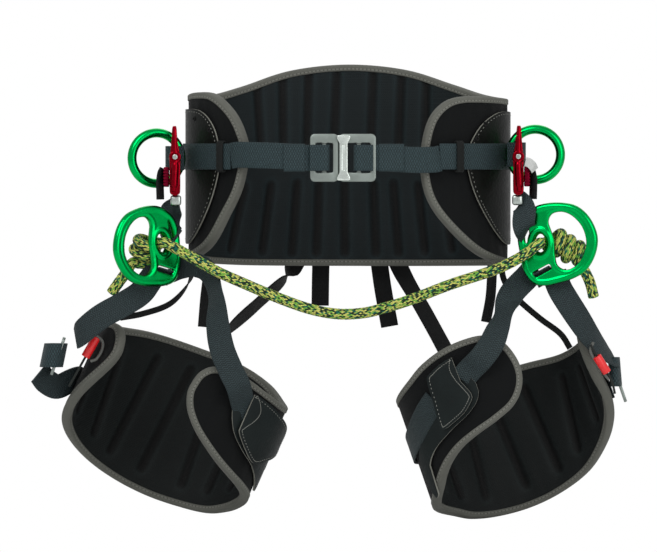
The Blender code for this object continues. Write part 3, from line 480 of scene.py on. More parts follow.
def ropeMaterial(name, turns, pitch):
    # braided strands, lime and yellow with dark flecks: u round the rope from 0 to 1, v along in metres
    lime, yellow, deep, teal = (ropeColours[key] for key in ("lime", "yellow", "deep", "teal"))
    mat = startMaterial(name, lime, 0.72, **matt(0.25))
    u, v, _, _ = coordinates(mat)
    about, along = times(mat, u, turns), maths(mat, "DIVIDE", v, pitch)
    crossing = [maths(mat, operation, about, along) for operation in ("ADD", "SUBTRACT")]
    cells = [maths(mat, "FLOOR", value) for value in crossing]
    # the same strand comes round again after as many cells as there are strands
    strands = [maths(mat, "MODULO", maths(mat, "ADD", cell, 1200.0), turns) for cell in cells]

    def chance(first, second):
        place = addNode(mat, "CombineXYZ", {0: first, 1: second}).outputs[0]
        return addNode(mat, "TexWhiteNoise", {"Vector": place}, noise_dimensions="2D").outputs["Value"]

    def ridge(value):
        inside = maths(mat, "SUBTRACT", maths(mat, "FRACT", value), 0.5)
        return maths(mat, "SUBTRACT", 1.0, times(mat, times(mat, inside, inside), 4.0))

    fleck = chance(*cells)
    stops = ((0.0, lime), (0.45, tone(lime, 1.3)), (0.75, yellow), (1.0, tone(lime, 0.55)))
    base = ramp(mat, chance(*strands), stops)
    shade = mixColour(mat, maths(mat, "GREATER_THAN", fleck, 0.76), base, yellow)
    shade = mixColour(mat, maths(mat, "LESS_THAN", fleck, 0.46), shade, deep)
    shade = mixColour(mat, maths(mat, "LESS_THAN", fleck, 0.13), shade, teal)
    height = times(mat, ridge(crossing[0]), ridge(crossing[1]))
    # painted shade: the colour darkens towards deep green in the valleys between the strands
    paintedValleyShade = times(mat, maths(mat, "SUBTRACT", 1.0, height), 0.6)
    return finishMaterial(mat, mixColour(mat, paintedValleyShade, shade, tone(deep, 0.6)), None, height, 0.5, 0.0007)


def plasticMaterial(name, colour, roughness, coat=0.2):
    mat = startMaterial(name, colour, roughness, **{"Coat Weight": coat, "Coat Roughness": 0.2})
    vector = coordinates(mat, "Object")[3]
    scuffs = noise(mat, vector, 160.0, 5.0, 0.7)
    patches = noise(mat, vector, 40.0)
    shade = mixColour(mat, patches, tone(colour, 0.75), tone(colour, 1.2))
    rough = scaled(mat, scuffs, 0.3, roughness - 0.12)
    return finishMaterial(mat, shade, rough, scuffs, 0.12, 0.0005)


def makeMaterials():
    slate = (0.019, 0.0345, 0.0385)
    black = (0.0022, 0.0026, 0.0028)
    return {
        "lining": meshLiningMaterial("blackMeshLining", (0.003, 0.0056, 0.0064), 0.0024, 0.56),
        "legLining": meshLiningMaterial("blackLegLining", (0.003, 0.0042, 0.0042), 0.0024, 0.6),
        "cover": weaveMaterial("blackCoverCloth", (0.0035, 0.0042, 0.0045), 0.0016, 0.78),
        "binding": bindingMaterial("greyBindingTape", (0.118, 0.12, 0.104), (0.155, 0.157, 0.138)),
        "shell": leatherMaterial("oliveBlackShell", (0.004, 0.005, 0.0042), 0.38, 300.0),
        "paleEdge": leatherMaterial("paleCutEdge", (0.19, 0.19, 0.165), 0.75),
        "webbing": webbingMaterial("slateWebbing", slate, basket=0.003),
        "legWebbing": webbingMaterial("slateLegWebbing", (0.019, 0.03, 0.0325), width=0.029),
        "innerWebbing": webbingMaterial("slateInnerWebbing", (0.0095, 0.0185, 0.019), width=0.029,
                                        basket=0.0019),
        "riser": webbingMaterial("blackRiserWebbing", black, 0.0017, 0.02),
        "elastic": webbingMaterial("blackElastic", (0.005, 0.0065, 0.0062), 0.0013, 0.018),
        "leather": leatherMaterial("charcoalLeather", (0.0072, 0.0105, 0.0105), 0.5),
        "green": metalMaterial("greenAnodisedAlloy", (0.0, 0.4, 0.075), 0.24, wear=0.1,
                               wearColour=(0.02, 0.5, 0.14)),
        "red": metalMaterial("redAnodisedAlloy", (0.22, 0.002, 0.008), 0.27, wear=0.12,
                             wearColour=(0.6, 0.06, 0.07)),
        "darkRed": metalMaterial("darkRedAnodisedAlloy", (0.13, 0.003, 0.014), 0.32, wear=0.1,
                                 wearColour=(0.3, 0.04, 0.06)),
        "zinc": metalMaterial("zincPlatedSteel", (0.46, 0.51, 0.48), 0.3),
        "satin": metalMaterial("satinGreyAlloy", (0.25, 0.285, 0.265), 0.42, (900.0, 40.0, 40.0), 0.2),
        "bright": metalMaterial("brightSteel", (0.7, 0.76, 0.72), 0.22, (60.0, 60.0, 700.0), 0.15),
        "rope": ropeMaterial("limeBraidedRope", ropeValues["turns"], ropeValues["pitch"]),
        "cord": weaveMaterial("thinDarkCord", (0.024, 0.028, 0.026), 0.0009, 0.7),
        "sleeve": plasticMaterial("brightRedSleeve", (0.7, 0.01, 0.012), 0.34),
        "piping": plasticMaterial("greySoftPiping", (0.085, 0.088, 0.08), 0.55, 0.05),
        "thread": plasticMaterial("paleGreyThread", (0.17, 0.175, 0.155), 0.7, 0.0),
        "blankTag": plasticMaterial("blankWhiteTag", (0.42, 0.43, 0.42), 0.5, 0.05),
    }


# ---- pads wrapped on an oval section: angle 0 is the back, lengths round it are in metres

def ovalSection(halfWidth, halfDepth, middle, across, up):
    angles = np.radians(np.arange(-260.0, 261.0))
    steps = np.hypot(np.diff(halfWidth * np.sin(angles)), np.diff(halfDepth * np.cos(angles)))
    lengths = np.concatenate([[0.0], np.cumsum(steps)])
    lengths -= np.interp(0.0, angles, lengths)
    return {"width": halfWidth, "depth": halfDepth, "middle": Vector(middle), "angles": angles,
            "lengths": lengths, "across": Vector(across).normalized(), "up": Vector(up).normalized()}


def arcAt(section, degrees):
    return float(np.interp(math.radians(degrees), section["angles"], section["lengths"]))


def outwardAt(section, arc):
    angle = float(np.interp(arc, section["lengths"], section["angles"]))
    normal = Vector((section["depth"] * math.sin(angle), section["width"] * math.cos(angle))).normalized()
    return angle, section["across"] * normal.x + Vector((0, 1, 0)) * normal.y


def onOval(section, arc, height, offset):
    angle, outward = outwardAt(section, arc)
    return (section["middle"] + section["across"] * (section["width"] * math.sin(angle))
            + Vector((0, section["depth"] * math.cos(angle), 0)) + outward * offset + section["up"] * height)


def padOutline(section, corners, perSpan=6):
    flat = [(arcAt(section, degrees), height) for degrees, height in corners]
    return smoothRoute(flat, perSpan, closed=True)


def insetOutline(outline, distance):
    moved = []
    for i, point in enumerate(outline):
        ahead = outline[(i + 1) % len(outline)] - outline[i - 1]
        ahead = ahead / np.hypot(*ahead)
        moved.append(point + distance * np.array([ahead[1], -ahead[0]]))
    return moved


def spansAt(outline, arc):
    heights = []
    for i, start in enumerate(outline):
        end = outline[(i + 1) % len(outline)]
        if (start[0] - arc) * (end[0] - arc) <= 0 and start[0] != end[0]:
            heights.append(start[1] + (arc - start[0]) / (end[0] - start[0]) * (end[1] - start[1]))
    return (min(heights), max(heights)) if heights else (0.0, 0.0)


beltSection = ovalSection(0.172, 0.1, (0, 0, 0), (1, 0, 0), (0, 0, 1))
beltCorners = [
    (-139, 0.005), (-137, 0.03), (-131, 0.054), (-120, 0.072), (-105, 0.074), (-85, 0.071), (-62, 0.071),
    (-43, 0.081), (-22, 0.099), (0, 0.106), (22, 0.1), (43, 0.083), (62, 0.071), (88, 0.067), (115, 0.069),
    (133, 0.069), (142, 0.061), (148, 0.042), (151, 0.01), (151, -0.024), (147.5, -0.054), (139, -0.082),
    (125, -0.109), (108, -0.121), (85, -0.124), (45, -0.125), (0, -0.125), (-45, -0.124), (-85, -0.119),
    (-107, -0.112), (-119, -0.098), (-128, -0.07), (-136, -0.035)]

padValues = {
    "cell": 0.0045, "beltHeight": 0.19, "legHeight": 0.15, "margin": 0.0006, "skin": 0.0004,
    "liningThickness": 0.0014, "coverThickness": 0.0016, "sewnWithin": 0.003, "pleatShade": 0.0062,
    "groove": 0.0042, "grooveWidth": 0.004, "pressure": 4.0, "frames": 20, "swell": 0.004,
    "bindingWidth": 0.0075, "bindingLip": 0.0009}


def seamDistance(seams, arc, height):
    # distance to the nearest sewn channel line; each is a pair of (arc, height) ends
    best = 1.0
    for (a, b), (c, d) in seams:
        run = np.array((c - a, d - b))
        share = np.clip(((arc - a) * run[0] + (height - b) * run[1]) / (run @ run), 0, 1)
        best = min(best, math.hypot(arc - a - share * run[0], height - b - share * run[1]))
    return best


def twoFacedGrid(section, outline, columns, rows, margin, evenness, offsets):
    # two sheets of points inside the outline, at two offsets from the oval, joined round their rims. Columns
    # are evenly spaced where evenness is 1, and closer together near both ends where it is 0
    first, last = min(p[0] for p in outline) + margin, max(p[0] for p in outline) - margin
    spots = []
    for i in range(columns + 1):
        share = i / columns
        bunched = (1 - math.cos(math.pi * share)) / 2
        arc = first + (last - first) * (evenness * share + (1 - evenness) * bunched)
        low, high = spansAt(outline, arc)
        spots += [(arc, low + (high - low) * k / rows) for k in range(rows + 1)]
    points = [onOval(section, *spot, offset) for offset in offsets for spot in spots]
    step, sheet = rows + 1, len(spots)
    faces = []
    for i in range(columns):
        for k in range(rows):
            a = i * step + k
            quad = (a, a + 1, a + step + 1, a + step)
            faces += [quad, tuple(sheet + q for q in reversed(quad))]
    rim = list(range(step)) + [i * step + rows for i in range(1, columns + 1)]
    rim += [columns * step + k for k in range(rows - 1, -1, -1)] + [i * step for i in range(columns - 1, 0, -1)]
    rimFaces = [(a, sheet + a, sheet + b, b) for a, b in zip(rim, rim[1:] + rim[:1])]
    return points, spots * 2, faces, rimFaces, set(rim), sheet


def makePad(name, section, corners, thickness, seams, body, nodes):
    # a closed two-faced pad on a regular grid, swelled by cloth pressure between its sewn channels
    values = padValues
    outline = insetOutline(padOutline(section, corners), values["bindingWidth"] * 0.45)
    arcs = [p[0] for p in outline]
    columns = round((max(arcs) - min(arcs) - 2 * values["margin"]) / values["cell"])
    tall = values["beltHeight"] if section is beltSection else values["legHeight"]
    points, spots, faces, rimFaces, rim, sheet = twoFacedGrid(
        section, outline, columns, round(tall / values["cell"]), values["margin"], 0.75,
        (values["skin"], thickness - values["skin"]))
    faces += rimFaces
    pad = meshPiece(name, points, faces, [spots[q] for face in faces for q in face])
    distances = np.array([seamDistance(seams, *spot) for spot in spots])
    # closeness to the sewn channels, which the lining material turns into painted shade along each channel and
    # a painted highlight beside it
    pleatShadeAndHighlight = pad.data.attributes.new("pleatShadeAndHighlight", "FLOAT", "POINT")
    pleatShadeAndHighlight.data.foreach_set("value", np.exp(-((distances / values["pleatShade"]) ** 2)).astype(np.float32))
    held = [i for i, distance in enumerate(distances)
            if i % sheet in rim or (i < sheet and distance < values["sewnWithin"])]
    swellPad(pad, held, values)
    pressChannels(pad, section, distances, sheet, values)
    cleanShell(pad, 0)
    lining, outer = splitPad(pad, name, sheet)
    for piece, mat in ((lining, "lining" if section is beltSection else "legLining"), (outer, "cover")):
        modify(piece, "SUBSURF", levels=1, render_levels=1)
        dress(piece, mat, 60)
    settle(lining, body, "lining", nodes[0])
    settle(outer, body, "cover", *nodes[1:])


def swellPad(pad, held, values):
    pick(pad)
    group = pad.vertex_groups.new(name="sewn")
    group.add(held, 1.0, "REPLACE")
    rest = np.array([v.co for v in pad.data.vertices], float)
    cloth = pad.modifiers.new("Cloth", "CLOTH")
    cloth.settings.quality = 4
    cloth.settings.mass = 0.3
    cloth.settings.tension_stiffness = 8
    cloth.settings.compression_stiffness = 8
    cloth.settings.bending_stiffness = 0.4
    cloth.settings.use_pressure = True
    cloth.settings.uniform_pressure_force = values["pressure"]
    cloth.settings.vertex_group_mass = "sewn"
    cloth.settings.effector_weights.gravity = 0
    cloth.collision_settings.use_collision = False
    for number in range(1, values["frames"] + 1):
        scene.frame_set(number)
    graph = bpy.context.evaluated_depsgraph_get()
    swelled = np.array([v.co for v in pad.evaluated_get(graph).data.vertices], float)
    pad.modifiers.remove(cloth)
    scene.frame_set(1)
    move = swelled - rest
    size = np.linalg.norm(move, axis=1, keepdims=True)
    limit = values["swell"] * np.tanh(size / values["swell"]) / np.maximum(size, 1e-9)
    pad.data.vertices.foreach_set("co", (rest + move * limit).ravel())
    pad.vertex_groups.clear()
    pad.data.update()


def pressChannels(pad, section, distances, sheet, values):
    # the thread pulls the lining in along each channel
    across, up, middle = section["across"], section["up"], section["middle"]
    for i in range(sheet):
        pull = values["groove"] * math.exp(-((distances[i] / values["grooveWidth"]) ** 2))
        if pull > 1e-5:
            vertex = pad.data.vertices[i]
            away = vertex.co - middle
            flat = Vector((away.dot(across) / section["width"] ** 2, away.y / section["depth"] ** 2))
            flat.normalize()
            vertex.co += (across * flat.x + Vector((0, 1, 0)) * flat.y) * pull
    pad.data.update()


def splitPad(pad, name, sheet):
    # the lining takes the inner face, the cover keeps the rest, and each gets its own thickness
    editFaces(pad, lambda face: all(v.index < sheet for v in face.verts))
    bpy.ops.mesh.separate(type="SELECTED")
    leaveEdit()
    lining = [o for o in bpy.context.selected_objects if o != pad][0]
    modify(lining, "SOLIDIFY", thickness=padValues["liningThickness"], offset=-1.0)
    modify(pad, "SOLIDIFY", thickness=padValues["coverThickness"], offset=-1.0)
    return named(lining, name + "Lining"), named(pad, name + "Outer")


def makeBinding(name, section, corners, thickness, body, node):
    # folded tape: a rounded U section carried round the outline, a shallow dip along its stitches
    values = padValues
    outline = padOutline(section, corners, 8)
    width, lip = values["bindingWidth"], values["bindingLip"]
    inside = insetOutline(outline, width)
    profile = [(1.0, -lip * 0.2, 1.0), (0.86, -lip, 0.86), (0.62, -lip * 0.55, 0.62), (0.3, -lip, 0.3),
               (0.04, -lip * 0.3, 0.04), (-0.05, thickness * 0.28, 0.01), (-0.05, thickness * 0.72, -0.01),
               (0.04, thickness + lip * 0.3, -0.04), (0.3, thickness + lip, -0.3),
               (0.62, thickness + lip * 0.55, -0.62), (0.86, thickness + lip, -0.86),
               (1.0, thickness + lip * 0.2, -1.0)]
    points, faces, uvs = [], [], []
    line = [onOval(section, *spot, 0.0) for spot in outline]
    run = lengthAlong(line + line[:1])
    for edge, core in zip(outline, inside):
        for share, offset, _ in profile:
            spot = edge + (core - edge) * share
            points.append(onOval(section, *spot, offset))
    size, count = len(profile), len(outline)
    for i in range(count):
        for k in range(size):
            after, beside = (i + 1) % count, (k + 1) % size
            faces.append((i * size + k, i * size + beside, after * size + beside, after * size + k))
            u, w = profile[k][2], profile[beside][2] if beside else -1.2
            uvs += [(u, run[i]), (w, run[i]), (w, run[i + 1]), (u, run[i + 1])]
    tape = cleanShell(meshPiece(name, points, faces, uvs))
    modify(tape, "SUBSURF", levels=1, render_levels=1)
    settle(dress(tape, "binding", 60), body, "binding", node)


# sewn channels of the back pad: x of each line's top and foot on the wearer's side, then their heights
backChannels = [
    (-0.1047, -0.1, 0.092, 0.016), (-0.0748, -0.074, 0.092, 0.016), (-0.0449, -0.047, 0.094, 0.014),
    (-0.0127, -0.016, 0.095, 0.014), (0.0288, 0.026, 0.095, 0.014), (0.061, 0.058, 0.092, 0.014),
    (0.0897, 0.088, 0.09, 0.014), (-0.118, -0.134, -0.034, -0.106), (-0.088, -0.098, -0.032, -0.108),
    (-0.058, -0.064, -0.03, -0.11), (-0.033, -0.036, -0.03, -0.11), (-0.004, -0.0035, -0.03, -0.11),
    (0.029, 0.032, -0.03, -0.11), (0.052, 0.058, -0.03, -0.11), (0.08, 0.088, -0.032, -0.108),
    (0.108, 0.119, -0.034, -0.106)]


def backSeams():
    seams = []
    for topX, footX, top, foot in backChannels:
        ends = []
        for x, height in ((topX, top), (footX, foot)):
            angle = math.degrees(math.asin(x / beltSection["width"]))
            ends.append((arcAt(beltSection, angle), height))
        seams.append(tuple(ends))
    for angle in (-118, -104, -90, -76, -62, 62, 76, 90, 104, 118, 132):
        reach = 0.03 if abs(angle) > 110 else 0.045
        seams.append(((arcAt(beltSection, angle), reach), (arcAt(beltSection, angle), -reach * 1.6)))
    return seams


def makeBackPad():
    thickness = 0.0119
    makePad("backPad", beltSection, beltCorners, thickness, backSeams(), "belt",
            ("back_pad_lining", "back_pad_foam", "back_pad_outer"))
    makeBinding("backPadBinding", beltSection, beltCorners, thickness, "belt", "back_pad_binding")


# ---- webbing: a grid laid along a route of (x, y, z, and the direction of its width)

def strap(name, stations, width, thickness=0.002, mat="webbing", perSpan=8, closed=False):
    line = smoothRoute(stations, perSpan, closed)
    if closed:
        line = line + line[:1]
    run = lengthAlong(line)
    last = len(line) - 1
    deselectAll()
    bpy.ops.mesh.primitive_grid_add(x_subdivisions=6, y_subdivisions=last, size=1)
    made = named(bpy.context.object, name)
    places = [Vector(point[:3]) for point in line]
    frames = []
    for i, point in enumerate(line):
        low, high = ((i - 1) % last, (i + 1) % last) if closed else (max(i - 1, 0), min(i + 1, last))
        ahead = (places[high] - places[low]).normalized()
        across = Vector(point[3:6])
        frames.append((places[i], (across - across.dot(ahead) * ahead).normalized()))
    for vertex in made.data.vertices:
        place, across = frames[round((vertex.co.y + 0.5) * last)]
        vertex.co = place + across * (vertex.co.x * width)
    for loop in made.data.uv_layers[0].data:
        loop.uv = ((loop.uv.x - 0.5) * width, run[round(loop.uv.y * last)])
    if closed:
        cleanShell(made)
    modify(made, "SOLIDIFY", thickness=thickness, offset=0.0)
    bevel(made, thickness * 0.28, 2, 50)
    return dress(made, mat, 50)


stitchValues = {"step": 0.0034, "length": 0.0026, "width": 0.0008, "height": 0.0004}
stitchPoints = (
    (-1, 0, -0.6), (-0.55, 1, 0), (0.55, 1, 0), (1, 0, -0.6), (0.55, -1, 0), (-0.55, -1, 0), (-0.5, 0, 1),
    (0.5, 0, 1))
stitchFaces = ((0, 5, 6), (0, 6, 1), (1, 6, 7, 2), (2, 7, 3), (3, 7, 4), (4, 7, 6, 5), (0, 1, 2, 3, 4, 5))


def threadRow(name, start, end, out):
    # a run of short stitches, each a small lozenge lying on the cloth
    values = stitchValues
    run = end - start
    count = max(1, int(run.length / values["step"]))
    ahead = run.normalized() * (values["length"] / 2)
    aside = ahead.cross(out).normalized() * (values["width"] / 2)
    points, faces = [], []
    for i in range(count):
        middle = start + run * ((i + 0.5) / count)
        faces += [tuple(len(points) + q for q in reversed(face)) for face in stitchFaces]
        points += [middle + ahead * along + aside * across + out * (up * values["height"])
                   for along, across, up in stitchPoints]
    made = meshPiece(name, points, faces)
    made.data.materials.append(mats["thread"])
    return made


waistRoutes = {
    "right": [
        (-0.1345, -0.084, 0.0012), (-0.1262, -0.0912, 0.0025), (-0.106, -0.103, 0.002),
        (-0.078, -0.1115, 0.001), (-0.046, -0.1152, -0.0005)],
    "left": [
        (0.106, -0.099, -0.0015), (0.099, -0.1035, -0.003), (0.08, -0.1095, -0.0035),
        (0.059, -0.1135, -0.0025), (0.0345, -0.1152, -0.0012)]}
waistValues = {
    "width": 0.03, "thickness": 0.0021, "face": 0.0171, "height": 0.0005, "rightEnd": -133.0,
    "leftEnd": 145.0,
    "bar": {"right": (-0.0273, -0.115, -0.001), "left": (0.01255, -0.115, -0.001)},
    "wrap": [
        (0.0225, -0.0008), (0.0085, 0.005), (0.002, 0.0066), (-0.0046, 0.0035), (-0.004, -0.0042),
        (0.003, -0.0058), (0.011, -0.0046), (0.0165, -0.0048)],
    "doubled": {"right": (-0.074, -0.0495), "left": (0.0357, 0.0645)}, "doubledWidth": 0.0318,
    "doubledLift": 0.0023}


def makeWaistWebbing():
    values = waistValues
    width, thickness, count = values["width"], values["thickness"], 60
    stations = []
    for i in range(count + 1):
        arc = arcAt(beltSection, values["rightEnd"] + (values["leftEnd"] - values["rightEnd"]) * i / count)
        stations.append((*onOval(beltSection, arc, values["height"], values["face"]), 0, 0, 1))
    band = strap("waistBand", stations, width, thickness, "webbing", 2)
    settle(band, "belt", "webbing", "waist_band")
    for tag, out in sides:
        route, bar = waistRoutes[tag], Vector(values["bar"][tag])
        # over the frame's edge, through the outer slot, round the slider bar and back out under itself
        stations = [(*p, 0, 0, 1) for p in route[:-1]]
        stations += [(*(bar + Vector((out * x, y, 0))), 0, 0, 1) for x, y in values["wrap"]]
        made = strap("waistStrap_" + tag, stations, width, thickness, "webbing", 6)
        settle(made, None, "webbing", "waist_strap_" + tag)
        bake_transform(made)
        # the doubled stretch of webbing near the buckle
        xs, depths = [p[0] * out for p in reversed(route)], [p[1] for p in reversed(route)]
        lap = []
        for x in np.linspace(*values["doubled"][tag], 6):
            lap.append((x, np.interp(x * out, xs, depths) - values["doubledLift"], -0.0008, 0, 0, 1))
        sleeve = strap("waistSleeve_" + tag, lap, values["doubledWidth"], thickness, "webbing", 6)
        settle(sleeve, "waist_half_" + tag, "webbing")


keeperValues = {
    "angles": {"right": -128.0, "left": 136.0}, "width": 0.009, "thickness": 0.0013,
    # (millimetres outwards, metres up) round the webbing
    "loop": [(1.7, 0.016), (3.0, 0.015), (3.2, 0.0), (3.0, -0.015), (1.7, -0.0168), (0, -0.0176),
             (-1.7, -0.016), (-2.4, -0.015), (-2.5, 0.0), (-2.4, 0.015), (-1.7, 0.0168), (0, 0.0176)]}


def makeKeeper(tag):
    values = keeperValues
    arc = arcAt(beltSection, values["angles"][tag])
    middle = onOval(beltSection, arc, waistValues["height"], waistValues["face"])
    _, outward = outwardAt(beltSection, arc)
    stations = [(*(middle + outward * (away * 0.001) + Vector((0, 0, z))), -outward.y, outward.x, 0)
                for away, z in values["loop"]]
    made = strap("waistKeeper_" + tag, stations, values["width"], values["thickness"], "elastic", 4, True)
    settle(made, "keeper_" + tag, "elastic", "waist_keeper_" + tag)


# ---- metal and plastic hardware

def cubePiece(name, middle, size, edge, segments=3):
    deselectAll()
    bpy.ops.mesh.primitive_cube_add(size=1, location=middle, scale=size)
    return bevel(named(bakePlace(bpy.context.object), name), edge, segments, 30)


def rodPiece(name, start, end, radius, around=32, edge=0.0):
    start, end = Vector(start), Vector(end)
    deselectAll()
    bpy.ops.mesh.primitive_cylinder_add(vertices=around, radius=radius, depth=(end - start).length,
                                        location=(start + end) / 2,
                                        rotation=(end - start).to_track_quat("Z", "Y").to_euler())
    made = named(bakePlace(bpy.context.object), name)
    return bevel(made, edge, 2, 50) if edge else made


def platePiece(name, outline, thickness, place):
    # a flat face drawn through the outline's (x, z) points, extruded along its own Y
    deselectAll()
    bpy.ops.mesh.primitive_circle_add(vertices=len(outline), radius=1, fill_type="NGON")
    made = named(bpy.context.object, name)
    for vertex, (x, z) in zip(made.data.vertices, outline):
        vertex.co = (x, -thickness / 2, z)
    pick(made)
    bpy.ops.object.mode_set(mode="EDIT")
    bpy.ops.mesh.select_all(action="SELECT")
    bpy.ops.mesh.extrude_region_move(TRANSFORM_OT_translate={"value": (0, thickness, 0)})
    return put(cleanShell(made, 0), place)


def put(obj, place):
    obj.data.transform(place)
    if place.determinant() < 0:
        obj.data.flip_normals()
    return obj


def cut(obj, cutters):
    for cutter in cutters:
        modify(obj, "BOOLEAN", operation="DIFFERENCE", object=cutter, solver="EXACT")
        bpy.data.objects.remove(cutter)
    return obj


def framesAlong(line, aside, closed=False):
    # the place and two crossing directions of each ring of a tube, carried along without twist
    count = len(line)
    found = []
    for i, place in enumerate(line):
        before, after = max(i - 1, 0), min(i + 1, count - 1)
        if closed:
            before, after = (i - 1) % count, (i + 1) % count
        ahead = (line[after] - line[before]).normalized()
        aside = (aside - aside.dot(ahead) * ahead).normalized()
        found.append((place, aside, ahead.cross(aside)))
    return found


def ringPoints(placed, sizes):
    # one ring of a tube, with a radius for each of its points
    place, aside, other = placed
    turns = [2 * math.pi * k / len(sizes) for k in range(len(sizes))]
    return [place + size * (math.cos(a) * aside + math.sin(a) * other) for size, a in zip(sizes, turns)]


def wrapTube(name, points, run, around, closed=False):
    # skins rings of points, u round them from 0 to 1 and v along in metres
    count = len(points) // around
    faces, uvs = [], []
    for i in range(count if closed else count - 1):
        for k in range(around):
            after, beside = (i + 1) % count, (k + 1) % around
            faces.append((i * around + k, i * around + beside, after * around + beside, after * around + k))
            u, w = k / around, (k + 1) / around
            uvs += [(u, run[i]), (w, run[i]), (w, run[i + 1]), (u, run[i + 1])]
    if not closed:
        for base, flip in ((0, True), ((count - 1) * around, False)):
            ring = [base + k for k in range(around)]
            faces.append(tuple(reversed(ring)) if flip else tuple(ring))
            uvs += [(0.5, run[0] if flip else run[-1])] * around
    return meshPiece(name, points, faces, uvs)


def tubePiece(name, route, radius, around=12, perSpan=4, closed=False):
    # a round bar along a smooth line; radius is one number or one for each ring
    line = [Vector(p[:3]) for p in smoothRoute(route, perSpan, closed)]
    run = lengthAlong(line + (line[:1] if closed else []))
    sizes = radius if hasattr(radius, "__len__") else [radius] * len(line)
    points = []
    for placed, size in zip(framesAlong(line, Vector((0.31, 0.42, 0.85)), closed), sizes):
        points += ringPoints(placed, [size] * around)
    return wrapTube(name, points, run, around, closed)


def forge(obj, voxel, passes):
    # welds overlapping bars and plates into one piece with soft fillets, as a drop forging has
    modify(obj, "REMESH", mode="VOXEL", voxel_size=voxel, adaptivity=0.0)
    return modify(obj, "SMOOTH", factor=0.6, iterations=passes)


buckleValues = {
    "middle": (-0.0057, -0.115, -0.001), "width": 0.076, "height": 0.055, "thickness": 0.005,
    "corner": 0.0055, "rail": 0.0105, "side": 0.0065, "split": -0.0109, "gap": 0.0004, "innerRail": 0.0098,
    "halfBar": 0.0022, "slotCorner": 0.0018, "edge": 0.0011, "dip": (0.007, 0.0016, 0.0006),
    "latchOffset": 0.0059}


def roundedCorners(width, height, corner, steps=6, middle=(0.0, 0.0)):
    points = []
    for side, up, start in ((1, 1, 0), (-1, 1, 90), (-1, -1, 180), (1, -1, 270)):
        for step in range(steps + 1):
            angle = math.radians(start + 90 * step / steps)
            points.append((middle[0] + side * (width / 2 - corner) + corner * math.cos(angle),
                           middle[1] + up * (height / 2 - corner) + corner * math.sin(angle)))
    return points


def makeBuckle():
    values = buckleValues
    middle, side = Vector(values["middle"]), values["side"]
    low, high = middle.x - values["width"] / 2, middle.x + values["width"] / 2
    place = Matrix.Translation((0, middle.y, middle.z))
    tall = values["height"] - 2 * values["rail"]
    for tag, start, end, startRail, endRail in (
            ("right", low, values["split"], side, side),
            ("left", values["split"] + values["gap"], high, values["innerRail"], side)):
        bar = (start + startRail + end - endRail) / 2
        edge = roundedCorners(end - start, values["height"], values["corner"], 8, ((start + end) / 2, 0))
        half = platePiece("buckleFrame_" + tag, edge, values["thickness"], place)
        slots = []
        for a, b in ((start + startRail, bar - values["halfBar"]), (bar + values["halfBar"], end - endRail)):
            slot = roundedCorners(b - a, tall, values["slotCorner"], 4, ((a + b) / 2, 0))
            slots.append(platePiece("slot", slot, 0.02, place))
        bevel(cut(half, slots), values["edge"])
        wide, deep, round_ = values["dip"]
        cut(half, [cubePiece("dip", (bar, middle.y - 0.0028, middle.z), (wide, deep, tall * 0.98), round_)])
        settle(dress(half, "satin"), "buckle_half_" + tag, "satin_alloy", "buckle_frame_" + tag)
    makeLatch(middle)


def makeLatch(middle):
    # the bright bar: wide at both ends, waisted between, with a finger dip down its face
    wide, waist, tall = 0.0077, 0.0046, 0.026
    quarter = [(waist, 0.0), (waist, 0.0165), (wide * 0.8, 0.0195), (wide, 0.0225), (wide, tall - 0.001),
               (wide - 0.001, tall)]
    outline = quarter + [(-x, z) for x, z in reversed(quarter)]
    outline += [(-x, -z) for x, z in quarter[1:]] + [(x, -z) for x, z in reversed(quarter[1:])]
    centre = buckleValues["split"] + buckleValues["latchOffset"]
    place = Matrix.Translation((centre, middle.y - 0.0047, middle.z))
    bar = bevel(platePiece("buckleLatchBar", outline, 0.0036, place), 0.0008)
    cut(bar, [cubePiece("dip", (centre, middle.y - 0.0068, middle.z), (0.0046, 0.0022, 0.03), 0.0007)])
    settle(dress(bar, "bright"), "buckle_half_left", "bright_steel", "buckle_latch_bar")


hipValues = {
    "right": {
        "ring": Vector((-0.221, -0.036, -0.0014)), "ringTurn": 14.0, "cam": Vector((-0.199, -0.07, 0.0)),
        "bridge": Vector((-0.235, -0.095, -0.105)), "bridgeTurn": 36.0, "bridgeRoll": 14.0},
    "left": {
        "ring": Vector((0.2155, -0.038, 0.0028)), "ringTurn": -4.0, "cam": Vector((0.196, -0.072, 0.0005)),
        "bridge": Vector((0.246, -0.085, -0.099)), "bridgeTurn": -12.0, "bridgeRoll": 0.0}}
sideRingValues = {"radius": 0.029, "section": 0.0052}


